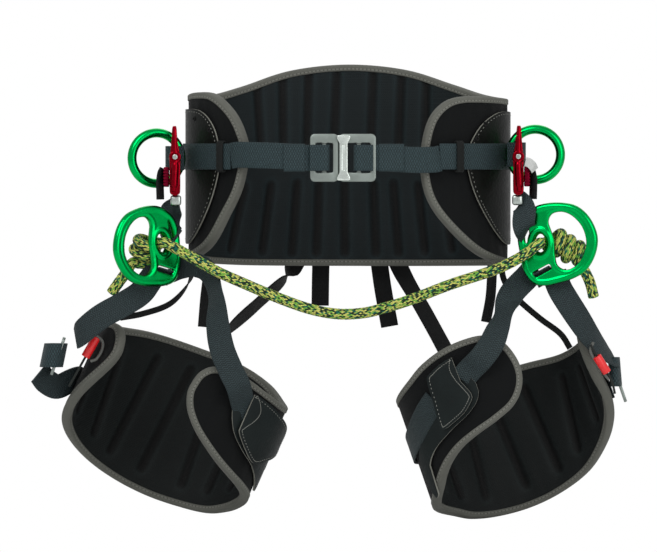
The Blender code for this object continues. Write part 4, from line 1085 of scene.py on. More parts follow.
def makeSideRing(tag, out):
    values = hipValues[tag]
    radius, section = sideRingValues["radius"], sideRingValues["section"]
    deselectAll()
    bpy.ops.mesh.primitive_torus_add(major_segments=128, minor_segments=32, major_radius=radius,
                                     minor_radius=section, rotation=(math.pi / 2, 0, 0))
    ring = named(bakePlace(bpy.context.object), "sideRing_" + tag)
    # forged section: flattened on both faces, with a fine ridge round the outside
    for front in (-1, 1):
        editFaces(ring, lambda face: face.normal.y * front > 0.86)
        bpy.ops.transform.resize(value=(1, 0.9, 1))
        leaveEdit()
    editFaces(ring, lambda face: abs(face.normal.y) < 0.12
              and math.hypot(*face.calc_center_median().xz) > radius)
    bpy.ops.transform.resize(value=(1.004, 1, 1.004))
    leaveEdit()
    pivot = values["ring"] - Vector((out * radius, 0, 0))
    turn = Matrix.Rotation(math.radians(values["ringTurn"]), 4, "Z")
    ring.data.transform(Matrix.Translation(pivot) @ turn @ Matrix.Translation((out * radius, 0, 0)))
    settle(dress(ring, "green", 60), "side_ring_" + tag, "green_alloy", "side_ring_" + tag)
    depth, reach = section + 0.0053, 0.017
    route = [(-0.0035, depth * 0.9), (0.006, depth), (reach - 0.003, depth * 0.75), (reach, 0),
             (reach - 0.003, -depth * 0.75), (0.006, -depth), (-0.0035, -depth * 0.9)]
    stations = [(pivot.x + out * x, pivot.y + y, pivot.z, 0, 0, 1) for x, y in route]
    loop = strap("sideRingWebbing_" + tag, stations, 0.028, 0.0021, "webbing", 6)
    settle(loop, "belt", "webbing", "side_ring_webbing_" + tag)


cheekOutline = [
    (-0.003, 0.034), (-0.0005, 0.0355), (0.0018, 0.034), (0.003, 0.018), (0.0052, 0.006), (0.007, -0.002),
    (0.0062, -0.009), (0.0062, -0.036), (0.005, -0.0425), (0.0, -0.0445), (-0.005, -0.0425),
    (-0.0062, -0.036), (-0.0062, -0.009), (-0.007, -0.001), (-0.0052, 0.007), (-0.004, 0.02)]
leverOutline = [
    (-0.001, 0.03), (0.0015, 0.03), (0.003, 0.01), (0.0052, 0.002), (0.0052, -0.004),
    (0.0025, -0.012), (-0.004, -0.015), (-0.006, -0.006), (-0.0058, 0.004), (-0.003, 0.014)]


camValues = {
    "halfWidth": 0.017, "cheek": 0.003, "bossRadius": 0.007, "bore": 0.0031, "cupRadius": 0.0046,
    "voxel": 0.0006,
    # route points as (x, outwards, z), then the radius of each ring
    "spine": ([(-0.0012, 0.0006, -0.04), (-0.001, 0.0012, -0.03), (0.0, 0.0012, -0.012), (0.0, 0.0006, -0.003)],
              [0.003] * 3 + [0.0042] * 7 + [0.0036] * 3, 20),
    "arm": ([(0.0, 0.0002, 0.004), (-0.0004, 0.0006, 0.016), (-0.0008, 0.0002, 0.0335)],
            [0.0038, 0.0036, 0.0032, 0.0029, 0.0026, 0.0024, 0.0021, 0.0019, 0.0016], 16),
    "crossBars": ((0.0365, 0.0052), (0.026, 0.003)), "leverWidth": 0.03, "leverBore": 0.0033,
    "toothAt": (0.003, 0.008), "toothStep": 0.0034, "toothSize": (0.0018, 0.026, 0.0012),
    "pinRadius": 0.0029, "pinOver": 0.0032, "socketRadius": 0.0016, "socketDepth": 0.0014}


def acrossRod(name, middle, near, far, radius, around=32, edge=0.0):
    # a rod along Y through the middle, between two distances
    return rodPiece(name, middle + Vector((0, near, 0)), middle + Vector((0, far, 0)), radius, around, edge)


def makeCamBuckle(tag, out):
    # the cheeks have a drawn-out spine down the body and up the lever arm, and a cupped boss round the pin
    values, middle = camValues, hipValues[tag]["cam"]
    mirror = Matrix.Scale(-out, 4, (1, 0, 0))
    reach = values["halfWidth"]
    outline = [tuple(p) for p in smoothRoute(cheekOutline, 4, closed=True)]
    parts = []
    for front in (-1, 1):
        y = front * reach
        parts.append(platePiece("cheek", outline, values["cheek"],
                                Matrix.Translation(middle + Vector((0, y, 0))) @ mirror))
        for kind in ("spine", "arm"):
            route, sizes, around = values[kind]
            route = [middle + Vector((-out * x, y + front * more, z)) for x, more, z in route]
            parts.append(tubePiece(kind, route, sizes, around))
        near, far = y - front * 0.0024, y + front * 0.0034
        parts.append(acrossRod("boss", middle, near, far, values["bossRadius"], 48, 0.0008))
    body = join("camBuckleFrame_" + tag, [cleanShell(part) for part in parts])
    forge(body, values["voxel"], 3)
    bores = [acrossRod("bore", middle, -0.04, 0.04, values["bore"])]
    bores += [acrossRod("cup", middle, y - 0.0022, y + 0.0022, values["cupRadius"], 40)
              for y in (-reach - 0.004, reach + 0.004)]
    bars = [acrossRod("crossBar", middle - Vector((0, 0, drop)), -reach, reach, size, 32, 0.0004)
            for drop, size in values["crossBars"]]
    body = join("camBuckleFrame_" + tag, [cut(body, bores), *bars])
    settle(dress(body, "red", 50), "belt", "red_alloy", "cam_buckle_frame_" + tag)
    makeCamLever(tag, out, middle, mirror)
    makeCamPin(tag, middle, reach)
    makeCamExtras(tag, middle, out)


def makeCamLever(tag, out, middle, mirror):
    values = camValues
    outline = [tuple(p) for p in smoothRoute(leverOutline, 4, closed=True)]
    lever = platePiece("camLever_" + tag, outline, values["leverWidth"], Matrix.Translation(middle) @ mirror)
    bevel(cut(lever, [acrossRod("bore", middle, -0.03, 0.03, values["leverBore"])]), 0.0005, 2)
    x, z = values["toothAt"]
    places = [middle + Vector((-out * x, 0, z + values["toothStep"] * i)) for i in range(5)]
    teeth = [cubePiece("tooth", place, values["toothSize"], 0.0003, 2) for place in places]
    lever = join("camLever_" + tag, [lever, *teeth])
    settle(dress(lever, "darkRed"), "cam_lever_" + tag, "dark_red_alloy", "cam_lever_" + tag)


camExtras = {
    "slide": ((0.0098, 0.0, -0.023), (0.0066, 0.027, 0.023), 0.0014),
    "rib": ((0.01, -0.0132, -0.0145), (0.0072, 0.0022, 0.0016), 0.0005), "ribStep": 0.0034,
    "guide": ((-0.001, 0.0, -0.05), (0.0125, 0.028, 0.012), 0.003),
    "tail": [
        (0.0135, -0.004, -0.013), (0.016, -0.004, -0.019), (0.0172, -0.004, -0.03),
        (0.0168, -0.004, -0.049)],
    "label": [
        (0.008, -0.02, -0.006), (0.012, -0.0215, -0.007), (0.0165, -0.0205, -0.011),
        (0.019, -0.017, -0.016)]}


def makeCamExtras(tag, middle, out):
    # outboard of the cam: a ribbed dark red slide, a webbing tail and, on the left, a blank folded label
    def at(x, y, z):
        return middle + Vector((out * x, y, z))

    place, size, edge = camExtras["slide"]
    parts = [cubePiece("slide", at(*place), size, edge)]
    (x, y, z), size, edge = camExtras["rib"]
    parts += [cubePiece("rib", at(x, y, z - camExtras["ribStep"] * i), size, edge, 2) for i in range(6)]
    settle(dress(join("camSlide_" + tag, parts), "darkRed"), "belt", "dark_red_alloy")
    place, size, edge = camExtras["guide"]
    settle(dress(cubePiece("camGuide_" + tag, at(*place), size, edge), "zinc"), "belt", "pin_steel")
    stations = [(*at(*p), -out * 0.3, 0.95, 0) for p in camExtras["tail"]]
    settle(strap("camTail_" + tag, stations, 0.025, 0.002, "riser", 6), "belt", "webbing")
    if tag == "left":
        stations = [(*at(*p), 0.35, 0, 0.94) for p in camExtras["label"]]
        settle(strap("blankLabel_left", stations, 0.0105, 0.0008, "blankTag", 6), "belt", "webbing")


def makeCamPin(tag, middle, reach):
    # a pin with a six-sided socket in each head
    values = camValues
    ends, deep = reach + values["pinOver"], values["socketDepth"]
    pin = acrossRod("camPin_" + tag, middle, -ends, ends, values["pinRadius"], 32, 0.0004)
    cut(pin, [acrossRod("socket", middle, y - deep, y + deep, values["socketRadius"], 6)
              for y in (-ends, ends)])
    settle(dress(pin, "zinc"), "belt", "pin_steel", "cam_pin_" + tag)


ringEdge = [
    (0.0, 0.0465), (0.018, 0.0425), (0.033, 0.029), (0.042, 0.008), (0.0395, -0.013), (0.029, -0.031),
    (0.013, -0.041), (-0.006, -0.0465), (-0.019, -0.049), (-0.033, -0.047), (-0.0445, -0.033),
    (-0.0495, -0.011), (-0.052, 0.008), (-0.048, 0.026), (-0.035, 0.04), (-0.02, 0.0455)]
bigHole = [
    (0.001, 0.036), (0.013, 0.031), (0.024, 0.019), (0.029, 0.003), (0.0265, -0.012), (0.018, -0.025),
    (0.006, -0.031), (-0.005, -0.026), (-0.008, -0.014), (-0.009, 0.003), (-0.013, 0.015), (-0.016, 0.025),
    (-0.011, 0.034)]
ringSlots = (((-0.042, 0.015), 6.0, 0.031), ((-0.025, -0.033), -62.0, 0.029))
ringEye = (-0.025, 0.0)
ringValues = {
    "plate": 0.0072, "plateInset": -0.002, "eye": (0.0075, 0.012), "slotWidth": 0.007, "slotCorner": 0.003,
    "voxel": 0.0008, "edgeBar": (-0.0044, 0.0046), "holeBar": (0.0036, 0.0041), "eyeBar": (0.0034, 0.005),
    # the webbing lap: its middle, its width direction and its way down, then (down, back) of each station
    "lap": (Vector((-0.025, 0, -0.033)), Vector((0.883, 0, 0.469)), Vector((0.469, 0, -0.883))),
    "lapRoute": ((-0.001, -0.003), (0.0004, 0.002), (0.006, 0.0092), (0.011, 0.0102), (0.0145, 0.01))}


def ringPlace(tag, out):
    values = hipValues[tag]
    turn = Matrix.Rotation(math.radians(values["bridgeTurn"]), 4, "Z")
    roll = Matrix.Rotation(math.radians(-values["bridgeRoll"]), 4, "Y")
    return Matrix.Translation(values["bridge"]) @ turn @ roll @ Matrix.Scale(out, 4, (1, 0, 0))


def turned(points, degrees, about):
    c, s = math.cos(math.radians(degrees)), math.sin(math.radians(degrees))
    return [(about[0] + c * (x - about[0]) - s * (z - about[1]),
             about[1] + s * (x - about[0]) + c * (z - about[1])) for x, z in points]


def grown(points, distance):
    # an outline moved away from its own inside
    area = sum(a[0] * b[1] - b[0] * a[1] for a, b in zip(points, points[1:] + points[:1]))
    return insetOutline([np.array(point) for point in points], math.copysign(distance, area * distance))


def makeBridgeRing(tag, out):
    values, flat = ringValues, Matrix.Identity(4)
    edge = [tuple(p) for p in smoothRoute(ringEdge, 4, closed=True)]
    hole = [tuple(p) for p in smoothRoute(bigHole, 4, closed=True)]
    wide, tall = values["eye"]
    eye = [(ringEye[0] + wide * math.cos(a), ringEye[1] + tall * math.sin(a))
           for a in (2 * math.pi * i / 40 for i in range(40))]
    openings = [hole, eye]
    for place, degrees, length in ringSlots:
        slot = roundedCorners(values["slotWidth"], length, values["slotCorner"], 6, place)
        openings.append(turned(slot, degrees, place))
    plate = platePiece("bridgeRing_" + tag, grown(edge, values["plateInset"]), values["plate"], flat)
    bars = [cut(plate, [platePiece("hole", opening, 0.03, flat) for opening in openings])]
    # a fat rim round the outside, one round the big hole, with a groove between them, and a lip round the eye
    for points, bar in ((edge, "edgeBar"), (hole, "holeBar"), (eye, "eyeBar")):
        inset, radius = values[bar]
        line = [(x, 0.0, z) for x, z in grown(points, inset)]
        bars.append(tubePiece("bar", line, radius, 16, 1, closed=True))
    ring = forge(join("bridgeRing_" + tag, [cleanShell(bar) for bar in bars]), values["voxel"], 5)
    spin = ringPlace(tag, out)
    settle(dress(put(ring, spin), "green", 80), "bridge_ring_" + tag, "green_alloy", "bridge_ring_" + tag)
    # a lap of webbing through the lower slot and down behind the foot, where both leg straps are sewn
    place, along, down = values["lap"]
    stations = [(*(spin @ (place + down * reach + Vector((0, y, 0)))), *(spin.to_3x3() @ along))
                for reach, y in values["lapRoute"]]
    settle(strap("ringLap_" + tag, stations, 0.025, 0.002, "legWebbing", 6), "bridge_ring_" + tag, "webbing")


# ---- rope bridge and its knots

ropeValues = {
    "radius": 0.0063, "plane": -0.093, "turns": 20.0, "pitch": 0.0042, "around": 60,
    "route": [
        (-0.2075, -0.1), (-0.182, -0.114), (-0.152, -0.131), (-0.1196, -0.1455), (-0.0816, -0.1615),
        (-0.0449, -0.1745), (-0.0127, -0.1805), (0.017, -0.1795), (0.0426, -0.1735), (0.074, -0.1635),
        (0.117, -0.147), (0.168, -0.13), (0.199, -0.115), (0.218, -0.101)]}
knotValues = {
    "right": {
        "knot": Vector((-0.233, -0.068, -0.106)), "axis": Vector((-0.35, 0.45, -0.8)), "coil": 0.012,
        "turns": 2.0,
        "tail": [
            (-0.248, -0.066, -0.122), (-0.256, -0.068, -0.134), (-0.264, -0.07, -0.145),
            (-0.271, -0.071, -0.155)]},
    "left": {
        "knot": Vector((0.249, -0.061, -0.103)), "axis": Vector((0.84, 0.1, -0.52)), "coil": 0.0106,
        "turns": 3.0,
        "tail": [
            (0.266, -0.057, -0.122), (0.2725, -0.058, -0.132), (0.2785, -0.059, -0.145),
            (0.282, -0.06, -0.159)]}}


def strandHeight(turn, along):
    # radius factor of the braid, its strands crossing both ways
    turns, pitch = ropeValues["turns"], ropeValues["pitch"]
    one, two = turn * turns + along / pitch, turn * turns - along / pitch
    high = max(1 - (2 * (one % 1) - 1) ** 2, 0) * max(1 - (2 * (two % 1) - 1) ** 2, 0)
    return 0.955 + 0.055 * high


def ropePiece(name, route, perSpan, tapers=(1.0,)):
    # a braided rope along the route; tapers are the radius factors of its last rings
    around = ropeValues["around"]
    line = [Vector(p) for p in smoothRoute(route, perSpan)]
    run = lengthAlong(line)
    factors = [1.0] * (len(line) - len(tapers)) + list(tapers)
    points = []
    for placed, factor, along in zip(framesAlong(line, Vector((0, 1, 0.2))), factors, run):
        braid = [strandHeight(k / around, along) for k in range(around)]
        points += ringPoints(placed, [ropeValues["radius"] * factor * high for high in braid])
    return dress(wrapTube(name, points, run, around), "rope", 70), line, run


def ringEyeAt(tag, out):
    place = ringPlace(tag, out)
    return place @ Vector((ringEye[0], 0, ringEye[1])), (place.to_3x3() @ Vector((0, -1, 0))).normalized()


def makeRope():
    values = ropeValues
    route = [Vector((x, values["plane"], z)) for x, z in values["route"]]
    # both ends stand just in front of the ring eyes
    start, end = (eye + front * 0.005 for eye, front in (ringEyeAt(tag, out) for tag, out in sides))
    route = [start, *route, end]
    rope, line, run = ropePiece("bridgeRope", route, 28)
    settle(rope, "rope", "rope", "bridge_rope")
    for tag, out in sides:
        makeKnot(tag, out)
    print("rope", round(run[-1], 3), "m")


def makeKnot(tag, out):
    values = knotValues[tag]
    eye, front = ringEyeAt(tag, out)
    axis = values["axis"].normalized()
    start = (eye - values["knot"]).normalized()
    start = (start - start.dot(axis) * axis).normalized()
    other = axis.cross(start)
    coil, pitch, turns = values["coil"], 0.0128, values["turns"]
    route = [eye + front * 0.006, eye, eye - front * 0.009]
    steps = round(11 * turns)
    for i in range(steps + 1):
        about = 2 * math.pi * turns * i / steps
        drop = pitch * (turns * i / steps - turns / 2)
        aside = math.cos(about) * start + math.sin(about) * other
        route.append(values["knot"] + axis * drop + coil * aside)
    tail = [Vector(p) for p in values["tail"]]
    route += [tail[0].lerp(route[-1], 0.35)] + tail
    end = (tail[-1] - tail[-2]).normalized()
    route += [tail[-1] + end * 0.0035]
    knot, _, _ = ropePiece("stopperKnot_" + tag, route, 8, (1.0, 0.99, 0.97, 0.93, 0.86, 0.74, 0.55, 0.25))
    settle(knot, "bridge_ring_" + tag, "rope", "stopper_knot_" + tag)


# ---- legs

legSections = {
    "right": ovalSection(0.108, 0.078, (-0.204, -0.005, -0.303), (0.915, 0, -0.4), (0.4, 0, 0.915)),
    "left": ovalSection(0.108, 0.078, (0.191, -0.005, -0.312), (-0.946, 0, -0.326), (-0.326, 0, 0.946))}
legValues = {
    "right": {
        "corners": [
            (-131, 0.052), (-127, 0.069), (-117, 0.077), (-90, 0.073), (-60, 0.075), (-32, 0.084),
            (-5, 0.089), (25, 0.091), (50, 0.084), (75, 0.071), (100, 0.067), (125, 0.072), (150, 0.08),
            (167, 0.078), (175, 0.066), (177.5, 0.048), (177, 0.034), (173, 0.018), (165, 0.002),
            (155, -0.011), (143, -0.023), (130, -0.032), (114, -0.04), (98, -0.047), (80, -0.057),
            (62, -0.07), (45, -0.081), (25, -0.087), (5, -0.09), (-15, -0.088), (-35, -0.081),
            (-55, -0.069), (-75, -0.053), (-90, -0.037), (-103, -0.018), (-115, 0.001), (-125, 0.022),
            (-130, 0.038)],
        "tab": [
            (84, 0.018), (86, 0.034), (98, 0.046), (114, 0.055), (128, 0.062), (141, 0.066), (137, 0.057),
            (134.5, 0.048), (136, 0.039), (140, 0.028), (141, 0.02), (132, 0.004), (121, -0.007),
            (110, 0.0), (98, 0.008)],
        "base": [
            (86, 0.026), (98, 0.043), (120, 0.056), (140, 0.062), (150, 0.052), (148.5, 0.036),
            (142, 0.016), (131, 0.001), (117, -0.011), (104, -0.026), (98, -0.036), (92, -0.03),
            (90, -0.01), (86, 0.01)],
        "channels": (-70, -47, -25, -3, 19, 41, 63),
        "belt": [
            (-86, 0.0), (-70, 0.0), (-50, 0.0), (-30, 0.0), (-10, 0.0), (10, 0.0), (30, 0.0), (50, 0.0),
            (70, 0.002), (88, 0.006), (104, 0.012)],
        "beltTail": [(-0.333, -0.01, -0.264), (-0.347, -0.022, -0.258), (-0.355, -0.033, -0.248)],
        "buckle": (-0.3335, -0.044, -0.229), "buckleUp": (0.33, 0, 0.944),
        "inner": [
            (-0.206, -0.059, -0.131, -0.6, 0.0, 0.8), (-0.193, -0.056, -0.126, -0.35, 0.0, 0.93),
            (-0.176, -0.072, -0.124, -0.1, -0.2, 0.97), (-0.16, -0.074, -0.134, 0.5, -0.6, 0.62),
            (-0.152, -0.08, -0.16, 0.55, -0.83, 0.0), (-0.15, -0.09, -0.192, 0.88, -0.45, 0.0),
            (-0.145, -0.096, -0.22, 0.95, -0.1, 0.2), (-0.135, -0.0985, -0.245, 0.95, 0.05, 0.32),
            (-0.126, -0.099, -0.264, 0.9, 0.1, 0.42)],
        "tucked": [(144.8, 0.0507), (137.0, 0.039)], "tuckedAcross": (0.86, 0.15, 0.5),
        "outer": [
            (-0.217, -0.07, -0.129, -0.75, 0.0, 0.66), (-0.227, -0.073, -0.141, -0.66, 0.0, 0.75),
            (-0.238, -0.076, -0.156, -0.52, 0.0, 0.85), (-0.256, -0.078, -0.168, -0.48, 0.0, 0.87),
            (-0.283, -0.08, -0.183, -0.55, 0.1, 0.8), (-0.302, -0.072, -0.198, -0.6, 0.3, 0.6),
            (-0.313, -0.06, -0.209, -0.35, 0.8, 0.4)],
        "cord": [
            (-0.283, -0.05, -0.195), (-0.289, -0.049, -0.207), (-0.302, -0.047, -0.23),
            (-0.313, -0.046, -0.25), (-0.321, -0.045, -0.264)],
        "riser": [
            (-0.056, 0.112, -0.115), (-0.07, 0.111, -0.137), (-0.103, 0.104, -0.168),
            (-0.134, 0.097, -0.196), (-0.159, 0.091, -0.222)],
        "rearTail": [(-0.031, 0.116, -0.114), (-0.0316, 0.1165, -0.142), (-0.032, 0.115, -0.171)],
        "elastic": [
            (-0.176, 0.044, -0.108), (-0.177, 0.042, -0.126), (-0.185, 0.036, -0.148),
            (-0.205, 0.028, -0.169), (-0.235, 0.02, -0.18), (-0.262, 0.013, -0.185)]},
    "left": {
        "corners": [
            (-111, 0.055), (-110, 0.072), (-103, 0.081), (-85, 0.075), (-62, 0.067), (-42, 0.063),
            (-20, 0.066), (10, 0.069), (45, 0.068), (75, 0.07), (100, 0.078), (121, 0.09), (137, 0.103),
            (153, 0.112), (168, 0.115), (181, 0.112), (190, 0.099), (194.5, 0.078), (195, 0.058),
            (191.5, 0.04), (184, 0.025), (172, 0.015), (158, 0.007), (146, -0.001), (135, -0.012),
            (125, -0.025), (114, -0.041), (99, -0.054), (80, -0.062), (60, -0.072), (44, -0.083),
            (25, -0.09), (5, -0.092), (-15, -0.087), (-36, -0.074), (-56, -0.051), (-74, -0.027),
            (-90, -0.003), (-103, 0.015), (-109, 0.034)],
        "tab": [
            (160, 0.1), (158.5, 0.088), (159.5, 0.076), (162, 0.064), (164, 0.053), (163, 0.047),
            (157, 0.036), (149, 0.029), (142, 0.025), (139.5, 0.03), (140.5, 0.056), (141.5, 0.085),
            (146, 0.092), (152, 0.097)],
        "base": [
            (140, 0.06), (137, 0.044), (124, 0.0276), (111, 0.008), (107, -0.011), (108, -0.026),
            (113, -0.046), (118, -0.04), (117, -0.014), (127, 0.005), (144, 0.021), (158, 0.033),
            (166, 0.046), (168, 0.062), (163, 0.08), (156, 0.088), (146, 0.08)],
        "channels": (-60, -38, -16, 6, 28, 50, 72), "beltTail": [],
        "belt": [
            (-86, 0.01), (-60, 0.01), (-40, 0.01), (-20, 0.01), (0, 0.01), (20, 0.01), (40, 0.01),
            (60, 0.01), (80, 0.012), (98, 0.018), (114, 0.03), (128, 0.046), (140, 0.06)],
        "buckle": (0.312, 0.005, -0.26), "buckleUp": (-0.326, 0, 0.946),
        "inner": [
            (0.215, -0.0645, -0.127, 0.75, 0.0, -0.66), (0.207, -0.0645, -0.137, 0.75, 0.0, -0.66),
            (0.188, -0.076, -0.1575, 0.75, -0.1, -0.65), (0.1794, -0.088, -0.1794, 0.6, -0.76, -0.2),
            (0.172, -0.096, -0.198, 0.85, -0.45, -0.25), (0.165, -0.102, -0.215, 0.95, 0.0, -0.3),
            (0.153, -0.104, -0.232, 0.85, 0.1, -0.5)],
        "tucked": [(167.2, 0.0799), (161.0, 0.072)], "tuckedAcross": (0.78, 0.1, -0.62),
        "outer": [
            (0.237, -0.07, -0.133, 0.95, 0.0, 0.3), (0.243, -0.073, -0.15, 0.9, 0.0, 0.4),
            (0.251, -0.074, -0.164, 0.88, 0.1, 0.42), (0.264, -0.066, -0.184, 0.8, 0.3, 0.45),
            (0.279, -0.05, -0.206, 0.6, 0.6, 0.4), (0.295, -0.031, -0.223, 0.3, 0.9, 0.4),
            (0.307, -0.015, -0.233, 0.1, 1.0, 0.2)],
        "cord": [
            (0.279, -0.062, -0.216), (0.286, -0.06, -0.229), (0.298, -0.056, -0.248),
            (0.304, -0.052, -0.26), (0.307, -0.048, -0.272)],
        "riser": [
            (0.054, 0.112, -0.116), (0.066, 0.111, -0.14), (0.088, 0.106, -0.178), (0.112, 0.099, -0.222),
            (0.131, 0.093, -0.26)],
        "rearTail": [(0.035, 0.116, -0.114), (0.04, 0.1165, -0.15), (0.048, 0.115, -0.195)],
        "elastic": [
            (0.176, 0.044, -0.112), (0.179, 0.042, -0.14), (0.194, 0.036, -0.162), (0.22, 0.029, -0.185),
            (0.244, 0.022, -0.203), (0.2555, 0.018, -0.22)]}}
legThickness = 0.0099


def legSeams(tag, section):
    outline = padOutline(section, legValues[tag]["corners"])
    seams = []
    for number, degrees in enumerate(legValues[tag]["channels"]):
        arc = arcAt(section, degrees)
        low, high = spansAt(outline, arc)
        lean = 0.006 * math.sin(number * 1.9)
        seams.append(((arc - lean, high - 0.026), (arc + lean, low + 0.026)))
    return seams


def makeLegPad(tag):
    section, values = legSections[tag], legValues[tag]
    body = "leg_" + tag
    makePad("legPad_" + tag, section, values["corners"], legThickness, legSeams(tag, section), body,
            ("leg_pad_lining_" + tag, "leg_pad_outer_" + tag))
    makeBinding("legPadBinding_" + tag, section, values["corners"], legThickness, body,
                "leg_pad_binding_" + tag)


def sheetOnOval(name, section, corners, inner, outer, mat, columns, rows):
    # a flat cut of leather or plastic laid on the pad, its two faces and its pale rim
    outline = padOutline(section, corners)
    offsets = (outer, inner)
    points, spots, faces, rimFaces, _, _ = twoFacedGrid(section, outline, columns, rows, 0.0004, 0, offsets)
    uvs = [spots[q] for face in faces + rimFaces for q in face]
    made = meshPiece(name, points, faces + rimFaces, uvs)
    for kind in (mat, "paleEdge"):
        made.data.materials.append(mats[kind])
    for polygon in made.data.polygons[len(faces):]:
        polygon.material_index = 1
    bevel(cleanShell(made, 0), min(0.0006, abs(outer - inner) * 0.3), 2, 50)
    return smooth(made, 45)


def edgeStitches(name, section, corners, inset, offset):
    outline = insetOutline(padOutline(section, corners), inset)
    line = [onOval(section, *spot, offset) for spot in outline]
    rows = []
    for spot, start, end in zip(outline, line, line[1:] + line[:1]):
        _, outward = outwardAt(section, spot[0])
        if (end - start).length > 0.0006:
            rows.append(threadRow(name, start, end, outward))
    return join(name, rows)


def makeLeatherTab(tag):
    # a base strip with a pale raw edge lies on the pad, the strap's end on it and a stitched sleeve over both
    section, values = legSections[tag], legValues[tag]
    face = legThickness + 0.0018
    base = sheetOnOval("leatherBase_" + tag, section, values["base"], face, face + 0.002, "leather", 60, 26)
    settle(base, "leg_" + tag, "leather")
    tab = sheetOnOval("leatherTab_" + tag, section, values["tab"], face + 0.0054, face + 0.0078, "leather", 60,
                      26)
    settle(tab, "leg_" + tag, "leather", "leather_tab_" + tag)
    settle(edgeStitches("leatherTabStitches_" + tag, section, values["tab"], 0.003, face + 0.0079),
           "leg_" + tag, "leather")


def makeLegBelt(tag):
    section, values = legSections[tag], legValues[tag]
    stations = [(*place, *section["up"]) for place in reversed(values["beltTail"])]
    for degrees, height in values["belt"]:
        spot = onOval(section, arcAt(section, degrees), height, legThickness + 0.003)
        stations.append((*spot, *section["up"]))
    belt = strap("legBelt_" + tag, stations, 0.029, 0.0021, "legWebbing")
    settle(belt, "leg_" + tag, "webbing", "leg_belt_" + tag)


def makeLegBuckle(tag):
    values = legValues[tag]
    up, along = Vector(values["buckleUp"]).normalized(), Vector((0, 1, 0))
    turn = Matrix((along, up.cross(along), up)).transposed().to_4x4()
    place = Matrix.Translation(values["buckle"]) @ turn
    body = "leg_buckle_" + tag
    plate = platePiece("legBuckleFrame_" + tag, roundedCorners(0.04, 0.046, 0.006), 0.0036, place)
    bevel(cut(plate, [platePiece("hole", roundedCorners(0.03, 0.036, 0.003), 0.02, place)]), 0.0009)
    settle(dress(plate, "satin"), body, "satin_alloy", "leg_buckle_frame_" + tag)
    ends = [place @ Vector((x, 0, 0)) for x in (-0.0147, 0.0147)]
    bar = rodPiece("legBuckleBar_" + tag, *ends, 0.0024, 24, 0.0003)
    settle(dress(bar, "bright"), body, "bright_steel", "leg_buckle_bar_" + tag)


def makeReleaseCord(tag):
    route = legValues[tag]["cord"]
    body = "leg_" + tag
    cord = tubePiece("releaseCord_" + tag, route, 0.0014, 12, 8)
    settle(dress(cord, "cord", 60), body, "cord", "release_cord_" + tag)
    start, end = Vector(route[1]), Vector(route[2])
    over = (end - start).normalized() * 0.01
    sleeve = rodPiece("redSleeve_" + tag, start, end, 0.0052)
    bevel(cut(sleeve, [rodPiece("bore", start - over, end + over, 0.003, 24)]), 0.0009)
    settle(dress(sleeve, "sleeve"), body, "sleeve", "red_sleeve_" + tag)


def makeLegStraps(tag, out):
    values = legValues[tag]
    for kind in ("inner", "outer"):
        stations = list(values[kind])
        if kind == "inner":
            section = legSections[tag]
            for degrees, height in values["tucked"]:
                spot = onOval(section, arcAt(section, degrees), height, legThickness + 0.0046)
                stations.append((*spot, *values["tuckedAcross"]))
        made = strap(f"legStrap{kind.title()}_{tag}", stations, 0.029, 0.0021, "legWebbing")
        settle(made, None, "webbing", f"leg_strap_{kind}_{tag}")
        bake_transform(made)
    aside = Vector((-out * 0.75, 0, -0.66))
    stations = [(*p, -aside.z, 0, aside.x) for p in values["riser"]]
    riser = strap("rearRiser_" + tag, stations, 0.02, 0.0018, "riser")
    settle(riser, None, "riser", "rear_riser_" + tag)
    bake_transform(riser)
    tail = strap("rearStrapTail_" + tag, [(*p, 1, 0, 0) for p in values["rearTail"]], 0.02, 0.0018, "riser")
    settle(tail, "belt", "riser", "rear_strap_tail_" + tag)
    stations = [(*p, 0.5, 0, 0.87) for p in values["elastic"]]
    elastic = strap("sideElastic_" + tag, stations, 0.007, 0.0016, "elastic")
    settle(elastic, None, "elastic", "side_elastic_" + tag)
    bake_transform(elastic)


camToRing = {
    "right": [
        (-0.199, -0.068, -0.044, 0.0, -1.0, 0.0), (-0.201, -0.068, -0.054, 0.6, -0.78, 0.2),
        (-0.204, -0.065, -0.065, 0.92, -0.2, 0.35), (-0.205, -0.06, -0.076, 0.8, 0.25, 0.52),
        (-0.204, -0.059, -0.085, 0.62, 0.35, 0.7), (-0.201, -0.069, -0.092, 0.4, 0.2, 0.88),
        (-0.1985, -0.0745, -0.095, 0.35, 0.2, 0.9)],
    "left": [
        (0.196, -0.07, -0.044, 0.0, -1.0, 0.0), (0.2, -0.078, -0.052, 0.55, -0.83, -0.1),
        (0.203, -0.085, -0.062, 0.95, -0.25, -0.2), (0.202, -0.088, -0.074, 0.97, 0.0, 0.22),
        (0.203, -0.086, -0.083, 0.75, 0.1, 0.65), (0.205, -0.0763, -0.087, 0.45, 0.1, 0.88),
        (0.201, -0.068, -0.087, 0.4, 0.0, 0.92)]}


def makeRingWebbing(tag):
    made = strap("ringWebbing_" + tag, camToRing[tag], 0.026, 0.0021, "legWebbing")
    settle(made, None, "webbing", "ring_webbing_" + tag)
    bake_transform(made)


